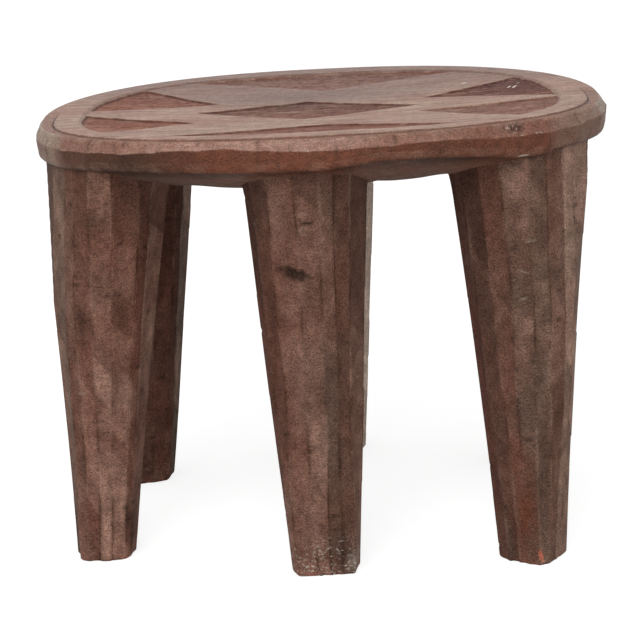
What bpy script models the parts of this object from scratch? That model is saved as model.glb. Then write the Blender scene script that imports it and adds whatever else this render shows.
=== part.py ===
"""Carved six-legged stool: an egg-shaped, dished seat with recessed carving, on six tapering hewn legs.

Metres, +Z up, front of the seat towards -Y. The origin is on the floor below the middle of the seat.
Each leg is a piece of its own, with a shoulder that follows the belly of the seat and a round tenon.
"""

from collections import namedtuple
from math import cos
from math import hypot
from math import pi
from math import radians
from math import sin

import bmesh
import bpy

# Overall sizes
SEAT_WIDTH = 0.388
SEAT_DEPTH = 0.362
STOOL_HEIGHT = 0.298

# Seat outline: a superellipse whose widest line lies in front of the middle
WIDEST_FORWARD = 0.0315
OUTLINE_POWER = 2.28

# Rim: the upper band leans out to the widest line, the lower band and its worn edge lean in again
UPPER_BAND_HEIGHT = 0.0080
UPPER_BAND_LEAN = 0.0025
LOWER_BAND_HEIGHT = 0.0085
LOWER_BAND_LEAN = 0.0008
WORN_EDGE_HEIGHT = 0.0060
WORN_EDGE_LEAN = 0.0030
BELLY_DEPTH = 0.0245
BELLY_POWER = 2.6

# Top of the seat: a flat border round a carved field, which lies a step lower and is dished
BORDER_AT_SIDES = 0.0315
BORDER_AT_FRONT = 0.0320
BORDER_AT_BACK = 0.0345
FIELD_POWER = 2.6
FIELD_STEP = 0.0010
FIELD_STEP_RUN = 0.0015
DISH_DEPTH = 0.0055

# Carved recesses: depth below the field, and how far a wall leans out over that depth
RECESS_DEPTH = 0.0013
RECESS_WALL_LEAN = 0.0008

# A border recess follows the edge of the field from the first turn to the last. Its two inner sides
# meet in a tip, some reaches inside that edge. A positive bow curves the inner sides outwards.
# Turns are degrees round the middle of the widest line: 0 is right, 90 is back.
RECESS_REACH = 0.080
RECESS_BOW = 0.004
Recess = namedtuple("Recess", "name first last tip reaches bows")
BORDER_RECESSES = (
    Recess("back", first=54.3, last=122.6, tip=86.7, reaches=0.90, bows=-1.0),
    Recess("left_back", first=136.9, last=169.1, tip=140.8, reaches=1.10, bows=0.0),
    Recess("left_front", first=176.4, last=215.0, tip=201.4, reaches=0.96, bows=0.0),
    Recess("front", first=235.0, last=301.0, tip=274.5, reaches=0.78, bows=0.25),
    Recess("right_front", first=317.0, last=356.9, tip=346.4, reaches=1.20, bows=0.2),
    Recess("right_back", first=0.5, last=34.3, tip=31.9, reaches=1.12, bows=-0.5),
)

# Lozenge near the middle of the field, placed from the middle of the widest line
LOZENGE_LENGTH = 0.156
LOZENGE_WIDTH = 0.084
LOZENGE_LEFT = 0.010
LOZENGE_BACK = 0.021
LOZENGE_TURN = 3.0

# Legs: the usual sizes, and each leg's own share of them, because no two are hewn alike.
# A leg's top stands at a turn, set back inside the rim. Its foot stands right of and behind its top
# by some splays. The bow swells or hollows the taper, and the hew turns the facets round, in degrees.
LEG_TOP_WIDTH = 0.085
LEG_FOOT_WIDTH = 0.043
LEG_SET_BACK = 0.034
LEG_SPLAY = 0.010
Leg = namedtuple("Leg", "name turn set_backs tops feet bow splays_right splays_back hew")
LEGS = (
    Leg("leg_front_left", turn=206.9, set_backs=0.98, tops=1.00, feet=0.96,
        bow=-0.25, splays_right=-1.74, splays_back=1.00, hew=8.0),
    Leg("leg_front_middle", turn=265.0, set_backs=1.47, tops=0.98, feet=1.07,
        bow=0.10, splays_right=0.00, splays_back=0.60, hew=-11.0),
    Leg("leg_front_right", turn=325.7, set_backs=1.19, tops=1.10, feet=1.06,
        bow=-0.20, splays_right=-0.25, splays_back=-2.30, hew=19.0),
    Leg("leg_back_left", turn=143.4, set_backs=1.06, tops=1.00, feet=1.00,
        bow=0.15, splays_right=-1.43, splays_back=1.20, hew=-4.0),
    Leg("leg_back_middle", turn=88.9, set_backs=1.44, tops=0.97, feet=1.00,
        bow=0.10, splays_right=0.00, splays_back=0.90, hew=14.0),
    Leg("leg_back_right", turn=36.8, set_backs=1.03, tops=1.00, feet=1.00,
        bow=0.15, splays_right=0.60, splays_back=0.80, hew=27.0),
)
LEG_SET_IN = 0.0010
LEG_ROOM_DOUBT = 0.00003
FOOT_OVERHANG = 0.0120
FOOT_CHAMFER = 0.0014
FOOT_CHAMFER_HEIGHT = 0.0020

# Hewn flats of a leg: how unequal they are, as shares of a flat's width and of the leg's radius, and
# how far the wave behind each share moves on from one flat to the next, in radians
FLAT_UNEVENNESS = 0.22
FLAT_WAVE = 2.4
RADIUS_UNEVENNESS = 0.022
RADIUS_WAVE = 3.7
RADIUS_WAVE_TURNS = 5.0

# Joint between a leg and the seat
TENON_DIAMETER = 0.032
TENON_ROOT = 0.020
WOOD_OVER_TENON = 0.010
FIT = 0.0003

# Counts of facets
OUTLINE_SIDES = 108
BELLY_RINGS = 8
DISH_RINGS = 5
LEG_SIDES = 12
LEG_SECTIONS = 9
TENON_SIDES = 28
RECESS_STEPS = 10

# Cutters reach this far past what they cut
OVERRUN = 0.010

SEAT_COLOUR = (0.112, 0.055, 0.039, 1.0)
LEG_COLOUR = (0.084, 0.036, 0.024, 1.0)
WOOD_ROUGHNESS = 0.50

WIDEST_HEIGHT = STOOL_HEIGHT - UPPER_BAND_HEIGHT
RIM_BOTTOM = WIDEST_HEIGHT - LOWER_BAND_HEIGHT - WORN_EDGE_HEIGHT
RIM_UNDERCUT = LOWER_BAND_LEAN + WORN_EDGE_LEAN
FIELD_TOP = STOOL_HEIGHT - FIELD_STEP


class Oval:
    """Superellipse with its own depth in front of and behind its widest line."""

    def __init__(self, half_width, to_front, to_back, power):
        self.half_width = half_width
        self.to_front = to_front
        self.to_back = to_back
        self.power = power

    def point(self, turn, share=1.0):
        """Point at a turn, drawn in to a share of the way out from the middle of the widest line."""
        across = cos(turn)
        along = sin(turn)
        out = share * (abs(across) ** self.power + abs(along) ** self.power) ** (-1.0 / self.power)
        depth = self.to_back if along > 0.0 else self.to_front
        return out * self.half_width * across, out * depth * along - WIDEST_FORWARD

    def point_inside(self, turn, distance):
        """Point at a turn, a distance inside the edge."""
        x, y = self.point(turn)
        return self.point(turn, 1.0 - distance / hypot(x, y + WIDEST_FORWARD))

    def share(self, x, y):
        """0 in the middle of the widest line, 1 on the edge."""
        behind = y + WIDEST_FORWARD
        depth = self.to_back if behind > 0.0 else self.to_front
        across = abs(x) / self.half_width
        return (across ** self.power + (abs(behind) / depth) ** self.power) ** (1.0 / self.power)

    def inset(self, distance):
        """The same oval, smaller by a distance all round."""
        return Oval(
            self.half_width - distance,
            self.to_front - distance,
            self.to_back - distance,
            self.power,
        )


OUTLINE = Oval(
    SEAT_WIDTH / 2,
    SEAT_DEPTH / 2 - WIDEST_FORWARD,
    SEAT_DEPTH / 2 + WIDEST_FORWARD,
    OUTLINE_POWER,
)
LOWER_EDGE = OUTLINE.inset(RIM_UNDERCUT)
FIELD = Oval(
    OUTLINE.half_width - BORDER_AT_SIDES,
    OUTLINE.to_front - BORDER_AT_FRONT,
    OUTLINE.to_back - BORDER_AT_BACK,
    FIELD_POWER,
)


def dish_height(x, y):
    """Height of the carved field at a place."""
    return FIELD_TOP - DISH_DEPTH * (1.0 - min(FIELD.share(x, y), 1.0) ** 2)


def belly_height(x, y):
    """Height of the underside of the seat at a place."""
    return RIM_BOTTOM - BELLY_DEPTH * (1.0 - LOWER_EDGE.share(x, y) ** BELLY_POWER)


def add_object(name, mesh_data, place):
    """Turn a bmesh, which is drawn where it stands, into a named object with its origin at a place."""
    bmesh.ops.recalc_face_normals(mesh_data, faces=mesh_data.faces)
    bmesh.ops.translate(mesh_data, verts=mesh_data.verts, vec=[-value for value in place])
    mesh = bpy.data.meshes.new(name)
    mesh_data.to_mesh(mesh)
    mesh_data.free()
    piece = bpy.data.objects.new(name, mesh)
    piece.location = place
    bpy.context.scene.collection.objects.link(piece)
    return piece


def add_piece(name, mesh_data, place, stool, colour):
    """A visible piece of the stool with its own wood."""
    piece = add_object(name, mesh_data, place)
    piece.parent = stool
    piece.data.materials.append(wood(name + "_wood", colour))
    return piece


def add_cutter(name, mesh_data, place=(0.0, 0.0, 0.0)):
    """A shape that is only cut from or joined to a piece."""
    cutter = add_object(name, mesh_data, place)
    cutter.hide_render = True
    cutter.display_type = "WIRE"
    return cutter


def wood(name, colour):
    """Stained, waxed hardwood."""
    material = bpy.data.materials.new(name)
    material.use_nodes = True
    shader = material.node_tree.nodes["Principled BSDF"]
    shader.inputs["Base Color"].default_value = colour
    shader.inputs["Roughness"].default_value = WOOD_ROUGHNESS
    shader.inputs["Metallic"].default_value = 0.0
    return material


def combine(piece, other, operation, solver="EXACT"):
    """Boolean of one object with another. The exact solver turns some legs inside out."""
    modifier = piece.modifiers.new(other.name, "BOOLEAN")
    modifier.operation = operation
    modifier.solver = solver
    modifier.object = other


def loft(rings):
    """Closed skin over rings of equally many points, with a flat cap at both ends."""
    mesh_data = bmesh.new()
    loops = [[mesh_data.verts.new(point) for point in ring] for ring in rings]
    for lower, upper in zip(loops, loops[1:]):
        sides = len(lower)
        for index in range(sides):
            following = (index + 1) % sides
            mesh_data.faces.new((lower[index], lower[following], upper[following], upper[index]))
    mesh_data.faces.new(loops[0])
    mesh_data.faces.new(loops[-1])
    return mesh_data


def ring_of(oval, height, share=1.0):
    """Points round an oval, drawn in to a share of its radius, at one height."""
    ring = []
    for index in range(OUTLINE_SIDES):
        x, y = oval.point(2.0 * pi * index / OUTLINE_SIDES, share)
        ring.append((x, y, height))
    return ring


def belly_rings(clearance):
    """Rings of the underside, from a small flat in its middle out to the lower edge of the rim."""
    edge = OUTLINE.inset(RIM_UNDERCUT - clearance)
    bottom = RIM_BOTTOM - clearance
    rings = []
    for step in range(1, BELLY_RINGS + 1):
        share = step / BELLY_RINGS
        rings.append(ring_of(edge, bottom - BELLY_DEPTH * (1.0 - share ** BELLY_POWER), share))
    return rings


def seat_blank():
    """Seat before its recesses and mortises are cut."""
    rings = belly_rings(0.0)
    rings.append(ring_of(OUTLINE.inset(LOWER_BAND_LEAN), WIDEST_HEIGHT - LOWER_BAND_HEIGHT))
    rings.append(ring_of(OUTLINE, WIDEST_HEIGHT))
    rings.append(ring_of(OUTLINE.inset(UPPER_BAND_LEAN), STOOL_HEIGHT))
    rings.append(ring_of(FIELD.inset(-FIELD_STEP_RUN), STOOL_HEIGHT))
    for step in range(DISH_RINGS):
        share = 1.0 - step / DISH_RINGS
        rings.append(ring_of(FIELD, FIELD_TOP - DISH_DEPTH * (1.0 - share ** 2), share))
    return loft(rings)


def belly_cutter():
    """Everything above the belly of the seat, with the clearance of the joint, to trim the legs."""
    rings = belly_rings(FIT)
    rings.append([(x, y, STOOL_HEIGHT + OVERRUN) for x, y, height in rings[-1]])
    return loft(rings)


def bowed_side(start, end, bow):
    """Points from start towards end, without the end, on a parabola that bows out to the right."""
    run_x = end[0] - start[0]
    run_y = end[1] - start[1]
    length = hypot(run_x, run_y)
    side = []
    for step in range(RECESS_STEPS):
        share = step / RECESS_STEPS
        out = 4.0 * bow * share * (1.0 - share) / length
        side.append((start[0] + run_x * share + run_y * out, start[1] + run_y * share - run_x * out))
    return side


def border_recess_outline(recess):
    """Outline of a recess between the edge of the field and its tip."""
    outline = []
    for step in range(RECESS_STEPS):
        turn = recess.first + (recess.last - recess.first) * step / RECESS_STEPS
        outline.append(FIELD.point(radians(turn)))
    tip = FIELD.point_inside(radians(recess.tip), recess.reaches * RECESS_REACH)
    bow = recess.bows * RECESS_BOW
    outline += bowed_side(FIELD.point(radians(recess.last)), tip, bow)
    outline += bowed_side(tip, FIELD.point(radians(recess.first)), bow)
    return outline


def lozenge_outline():
    """Outline of the lozenge near the middle of the field."""
    corners = []
    for quarter in range(4):
        half = LOZENGE_LENGTH / 2 if quarter % 2 == 0 else LOZENGE_WIDTH / 2
        turn = 0.5 * pi * quarter - radians(LOZENGE_TURN)
        x = half * cos(turn) - LOZENGE_LEFT
        y = half * sin(turn) + LOZENGE_BACK - WIDEST_FORWARD
        corners.append((x, y))
    outline = []
    for corner, following in zip(corners, corners[1:] + corners[:1]):
        outline += bowed_side(corner, following, 0.0)
    return outline


def recess_cutter(name, outline):
    """Block whose underside follows the dish at the depth of the recess. Its walls lean out upwards."""
    middle_x = sum(x for x, y in outline) / len(outline)
    middle_y = sum(y for x, y in outline) / len(outline)
    above = STOOL_HEIGHT + OVERRUN
    mesh_data = bmesh.new()
    floor = []
    roof = []
    for x, y in outline:
        out = hypot(x - middle_x, y - middle_y)
        toward_x = (x - middle_x) / out
        toward_y = (y - middle_y) / out
        floor_x = x - RECESS_WALL_LEAN * toward_x
        floor_y = y - RECESS_WALL_LEAN * toward_y
        floor_z = dish_height(floor_x, floor_y) - RECESS_DEPTH
        lean = RECESS_WALL_LEAN * (above - floor_z) / RECESS_DEPTH
        floor.append(mesh_data.verts.new((floor_x, floor_y, floor_z)))
        roof.append(mesh_data.verts.new((floor_x + lean * toward_x, floor_y + lean * toward_y, above)))
    middle_z = dish_height(middle_x, middle_y) - RECESS_DEPTH
    floor_middle = mesh_data.verts.new((middle_x, middle_y, middle_z))
    roof_middle = mesh_data.verts.new((middle_x, middle_y, above))
    for index in range(len(outline)):
        following = (index + 1) % len(outline)
        mesh_data.faces.new((floor[index], floor[following], roof[following], roof[index]))
        mesh_data.faces.new((floor[following], floor[index], floor_middle))
        mesh_data.faces.new((roof[index], roof[following], roof_middle))
    return add_cutter("recess_" + name, mesh_data)


def room_inside(limit, centre, turn):
    """How far a leg can reach from its centre before it comes out past an oval."""
    near = 0.0
    far = SEAT_WIDTH + SEAT_DEPTH
    while far - near > LEG_ROOM_DOUBT:
        middle = 0.5 * (near + far)
        if limit.share(centre[0] + middle * cos(turn), centre[1] + middle * sin(turn)) < 1.0:
            near = middle
        else:
            far = middle
    return near


def leg_section(centre, width, hew, height):
    """Hewn section of a leg: unequal flats, flush with the rim above, free to pass it at the foot."""
    share = height / RIM_BOTTOM
    limit = LOWER_EDGE.inset(LEG_SET_IN * share - (FOOT_OVERHANG + RIM_UNDERCUT) * (1.0 - share))
    ring = []
    for index in range(LEG_SIDES):
        turn = 2.0 * pi * (index + FLAT_UNEVENNESS * sin(FLAT_WAVE * index + hew)) / LEG_SIDES + hew
        swell = RADIUS_UNEVENNESS * sin(RADIUS_WAVE * index + RADIUS_WAVE_TURNS * hew)
        radius = min(0.5 * width * (1.0 + swell), room_inside(limit, centre, turn))
        ring.append((centre[0] + radius * cos(turn), centre[1] + radius * sin(turn), height))
    return ring


def leg_blank(leg, top, foot):
    """Leg from its chamfered foot up into the seat, before its shoulder is cut."""
    hew = radians(leg.hew)
    top_width = leg.tops * LEG_TOP_WIDTH
    foot_width = leg.feet * LEG_FOOT_WIDTH
    rings = [leg_section(foot, foot_width - 2.0 * FOOT_CHAMFER, hew, 0.0)]
    for section in range(LEG_SECTIONS):
        share = section / (LEG_SECTIONS - 1)
        centre = (foot[0] + (top[0] - foot[0]) * share, foot[1] + (top[1] - foot[1]) * share)
        width = foot_width + (top_width - foot_width) * share * (1.0 + leg.bow * (1.0 - share))
        height = FOOT_CHAMFER_HEIGHT + (RIM_BOTTOM - FOOT_CHAMFER_HEIGHT) * share
        rings.append(leg_section(centre, width, hew, height))
    rings.append([(x, y, height + OVERRUN) for x, y, height in rings[-1]])
    return loft(rings)


def round_peg(centre, diameter, bottom, top):
    """Upright round peg, for a tenon or for the mortise that takes it."""
    rings = []
    for height in (bottom, top):
        ring = []
        for index in range(TENON_SIDES):
            turn = 2.0 * pi * index / TENON_SIDES
            x = centre[0] + 0.5 * diameter * cos(turn)
            y = centre[1] + 0.5 * diameter * sin(turn)
            ring.append((x, y, height))
        rings.append(ring)
    return loft(rings)


def build_seat(stool):
    """Seat with its carved recesses. The mortises come with the legs."""
    seat = add_piece("seat", seat_blank(), (0.0, 0.0, STOOL_HEIGHT), stool, SEAT_COLOUR)
    for recess in BORDER_RECESSES:
        combine(seat, recess_cutter(recess.name, border_recess_outline(recess)), "DIFFERENCE")
    combine(seat, recess_cutter("lozenge", lozenge_outline()), "DIFFERENCE")
    return seat


def build_leg(leg, stool, seat, belly):
    """Leg with its shoulder and tenon, and the mortise for it in the seat."""
    top = OUTLINE.point_inside(radians(leg.turn), leg.set_backs * LEG_SET_BACK)
    foot = (top[0] + leg.splays_right * LEG_SPLAY, top[1] + leg.splays_back * LEG_SPLAY)
    piece = add_piece(leg.name, leg_blank(leg, top, foot), (foot[0], foot[1], 0.0), stool, LEG_COLOUR)
    combine(piece, belly, "DIFFERENCE", "MANIFOLD")
    root = belly_height(*top) - TENON_ROOT
    tenon_top = dish_height(*top) - RECESS_DEPTH - WOOD_OVER_TENON
    tenon = add_cutter(leg.name + "_tenon", round_peg(top, TENON_DIAMETER, root, tenon_top))
    combine(piece, tenon, "UNION", "MANIFOLD")
    mortise = round_peg(top, TENON_DIAMETER + 2.0 * FIT, root, tenon_top + FIT)
    combine(seat, add_cutter(leg.name + "_mortise", mortise), "DIFFERENCE")


def build_stool():
    """The whole stool, under one empty."""
    for piece in list(bpy.data.objects):
        bpy.data.objects.remove(piece)
    stool = bpy.data.objects.new("stool", None)
    bpy.context.scene.collection.objects.link(stool)
    seat = build_seat(stool)
    belly = add_cutter("belly_cutter", belly_cutter())
    for leg in LEGS:
        build_leg(leg, stool, seat, belly)


build_stool()
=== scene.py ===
"""Looks of the carved six-legged stool: carved seat, hewn legs, waxed wood, floor, light and camera.

Metres, +Z up, front of the seat towards -Y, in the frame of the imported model.
The seat and the legs are modelled again at a fine grain, with the wear and the tool marks of the real ones.
"""

from collections import namedtuple
from math import pi
from math import radians

import bpy
import numpy as np
from mathutils import Matrix
from mathutils import Vector
from mathutils.geometry import delaunay_2d_cdt
from mathutils.kdtree import KDTree


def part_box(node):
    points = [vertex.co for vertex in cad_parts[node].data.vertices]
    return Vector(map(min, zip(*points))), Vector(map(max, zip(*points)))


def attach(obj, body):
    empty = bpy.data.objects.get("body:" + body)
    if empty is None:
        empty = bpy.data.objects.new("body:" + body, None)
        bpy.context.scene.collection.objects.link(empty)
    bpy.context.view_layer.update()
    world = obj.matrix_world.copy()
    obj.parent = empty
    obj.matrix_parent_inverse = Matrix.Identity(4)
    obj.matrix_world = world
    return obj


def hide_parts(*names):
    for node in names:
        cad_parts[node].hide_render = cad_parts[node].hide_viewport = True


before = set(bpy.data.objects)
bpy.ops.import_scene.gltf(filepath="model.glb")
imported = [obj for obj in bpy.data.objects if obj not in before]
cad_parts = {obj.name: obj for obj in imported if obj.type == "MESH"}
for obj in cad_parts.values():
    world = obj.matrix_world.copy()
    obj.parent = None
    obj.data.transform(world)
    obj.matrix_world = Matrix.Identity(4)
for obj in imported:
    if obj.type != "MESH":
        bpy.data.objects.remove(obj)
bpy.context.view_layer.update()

# Overall sizes, from the frame
SEAT_LOW, SEAT_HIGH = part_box("seat")
SEAT_WIDTH = SEAT_HIGH[0] - SEAT_LOW[0]
SEAT_DEPTH = SEAT_HIGH[1] - SEAT_LOW[1]
STOOL_HEIGHT = SEAT_HIGH[2]

# Seat outline, rim and belly, as in the solid
WIDEST_FORWARD = 0.0315
OUTLINE_POWER = 2.28
UPPER_BAND_HEIGHT = 0.0080
UPPER_BAND_LEAN = 0.0025
LOWER_BAND_HEIGHT = 0.0085
LOWER_BAND_LEAN = 0.0008
WORN_EDGE_HEIGHT = 0.0060
WORN_EDGE_LEAN = 0.0030
BELLY_DEPTH = 0.0245
BELLY_POWER = 2.6
WIDEST_HEIGHT = STOOL_HEIGHT - UPPER_BAND_HEIGHT
RIM_BOTTOM = WIDEST_HEIGHT - LOWER_BAND_HEIGHT - WORN_EDGE_HEIGHT
RIM_UNDERCUT = LOWER_BAND_LEAN + WORN_EDGE_LEAN

# Carved field, as in the solid
BORDER_AT_SIDES = 0.0315
BORDER_AT_FRONT = 0.0320
BORDER_AT_BACK = 0.0345
FIELD_POWER = 2.6
FIELD_STEP = 0.0010
FIELD_STEP_RUN = 0.0015
DISH_DEPTH = 0.0055
RECESS_DEPTH = 0.0013
RECESS_WALL_RUN = 0.0008
RECESS_REACH = 0.080
RECESS_BOW = 0.004

# Recesses round the edge of the field. Turns are degrees round the middle of the widest line: 0 is right,
# 90 is back. The stain says how strongly the floor is coloured, the tone how dark, 1 darkest, and the line
# how strong the painted shade at the foot of the wall is.
Recess = namedtuple("Recess", "first last tip reaches bows stain tone line")
BORDER_RECESSES = (
    Recess(first=54.3, last=122.6, tip=86.7, reaches=0.90, bows=-1.0, stain=0.50, tone=0.35, line=0.15),
    Recess(first=136.9, last=169.1, tip=140.8, reaches=1.10, bows=0.0, stain=0.80, tone=0.15, line=0.80),
    Recess(first=176.4, last=215.0, tip=201.4, reaches=0.96, bows=0.0, stain=0.85, tone=0.05, line=0.80),
    Recess(first=235.0, last=301.0, tip=274.5, reaches=0.78, bows=0.25, stain=0.85, tone=0.30, line=0.60),
    Recess(first=317.0, last=356.9, tip=346.4, reaches=1.20, bows=0.2, stain=0.70, tone=0.45, line=0.10),
    Recess(first=0.5, last=34.3, tip=31.9, reaches=1.12, bows=-0.5, stain=0.95, tone=0.85, line=0.20),
)
LOZENGE_LENGTH = 0.156
LOZENGE_WIDTH = 0.084
LOZENGE_LEFT = 0.010
LOZENGE_BACK = 0.021
LOZENGE_TURN = 3.0
LOZENGE_STAIN = 0.80
LOZENGE_TONE = 0.75
LOZENGE_LINE = 0.65

# What only the looks have on top of the seat: the line scored inside the front edge, the strip that falls
# away outside it, cuts that overshoot the tips of the carving, worn arrises, and the wobble of the tool. The
# dark along the scored line, the overcuts and the feet of the step and of the recess walls is painted shade.
SCORE_INSET_AT_ENDS = 0.0105
SCORE_INSET_AT_FRONT = 0.0052
SCORE_NEARS_EDGE = (0.05, 0.65)
SCORE_HALF_WIDTH = 0.0009
SCORE_DEPTH = 0.0007
SCORE_SHADE = 1.6
SCORE_FROM = 176.0
SCORE_TO = 364.0
SCORE_FADE = 9.0
SOFT_STEP_FROM = 212.0
SOFT_STEP_TO = 322.0
SOFT_STEP_FADE = 14.0
SOFT_STEP_RUN = 0.0090
OUTER_STRIP_STEP = 0.0008
OUTER_STRIP_FALL = 0.0006
STRIP_DULLNESS = 0.6
OVERCUT_LENGTH = 0.011
OVERCUT_HALF_WIDTH = 0.0006
OVERCUT_DEPTH = 0.0007
CARVED_EDGE_WEAR = 0.0010
# Paleness along the field's edge: partly wear, partly painted highlight
FIELD_EDGE_WEAR_AND_HIGHLIGHT = 0.5
WALL_FOOT_REACH = 0.0010
STEP_FOOT_SHADE = 0.45
FLOOR_FROM_WALL = 1.5
CUT_EDGE = 0.0003
CARVED_EDGE_DROP = 0.0002
# Painted shade that deepens towards the back of each recess floor
FLOOR_SHADE_TO_BACK = 0.5
CARVING_WOBBLE = 0.0006
WOBBLE_LONGEST = 0.9
WOBBLE_WAVES = 14
TOP_SWELL = 0.00015
TOP_SWELL_LENGTH = 0.050
SWELL_WAVES = 7
SWELL_LENGTHS = (0.6, 1.6)

# What only the looks have on the rim: unequal flats, the line between the bands that rises and falls from
# flat to flat, and a lower edge cut away between the legs. A pair is a turn in degrees and what holds there:
# metres above the solid's line, or a share. An end with painted sheen is its first and last turn and its
# strength: there the rim is painted pale, as a grazing reflection at its ends. The profile of the worn line
# is inset and rise, in wears.
ARRIS_WEAR = 0.0026
ARRIS_ROWS = 4
RIM_FLATS = 40
RIM_FLAT_UNEVENNESS = 0.7
RIM_FLAT_HOLLOW = 0.0006
RIM_FLAT_STEP = 0.0005
TOP_HOLLOW = 0.4
LOWER_HOLLOW = 0.7
RIM_LINE_WAVE = 0.0007
RIM_LINE_WEAR = 0.0004
RIM_LINE_PROFILE = ((1.0, 2.0), (0.3, 0.5), (0.3, -1.5))
RIM_LINE_ARCH = 0.7
RIM_LINE_DROP = 0.3
ARCH_MEAN = 2.0 / 3.0
RIM_LINE_RISES = (
    (170, 0.0005), (200, -0.0010), (214, -0.0016), (231, -0.0004), (240, 0.0015), (252, 0.0030),
    (267, -0.0010), (282, 0.0002), (292, 0.0013), (304, -0.0010), (316, -0.0017), (345, 0.0),
)
RIM_BOTTOM_RISES = (
    (60, 0.0010), (110, 0.0035), (170, 0.0), (213, 0.0), (233, 0.0020), (257, 0.0006), (271, 0.0008),
    (280, 0.0045), (292, 0.0040), (304, 0.0006), (308, -0.0020), (316.5, -0.0022), (317.5, 0.0), (360, 0.0),
)
END_SHEEN_SPANS = ((168, 211, 0.95), (317, 344, 0.38), (338, 372, 1.0))
END_SHEEN_FADE = 3.0
END_LOWER_SHARE = 0.60
LOWER_BAND_DARKNESS = (
    (0, 0.2), (90, 0.3), (180, 0.2), (206, 0.5), (220, 0.6), (232, 0.9), (243, 0.5), (252, 0.1), (275, 0.05),
    (291, 0.35), (303, 0.1), (320, 0.15),
)
# How pale the upper band is round the rim: partly wear, partly painted light on the band that leans up to
# the light
BAND_WEAR_AND_LIGHT = (
    (0, 0.5), (90, 0.6), (180, 0.6), (215, 0.42), (232, 0.65), (248, 1.0), (272, 0.95), (284, 0.58),
    (300, 0.38), (318, 0.28),
)
BELLY_SWELL = 0.0012
BELLY_SWELL_LENGTH = 0.035
BOTTOM_RISE_POWER = 6
UNDERSIDE_ONSET = 8.0
# Rows of painted shade where the rim's lower edge turns under into the belly
RIM_FOOT_SHADE_ROWS_ABOVE = 3
RIM_FOOT_SHADE_ROWS_BELOW = 2

# Fineness of the seat's mesh
SEAT_SHARP_ANGLE = 34.0
RIM_COLUMNS = 600
BAND_ROWS = 7
WORN_EDGE_ROWS = 5
BELLY_ROWS = 20
FLOOR_SPACING = 0.00108
TOP_SPACING = 0.0019
LOOP_SPACING = 0.0015
RECESS_ARC_POINTS = 60
FIELD_LINE_POINTS = 640
SCORE_POINTS = 380
GRID_ROW_SHARE = 0.866
CLEAR_OF_LINES = 0.6
NEAR_OUTLINE = 0.004
SHORTEST_MITRE = 0.25
SMALLEST_SHARE = 1e-6
SAME_PLACE = 1e-7
KEEP_INSIDE = 1
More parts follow.
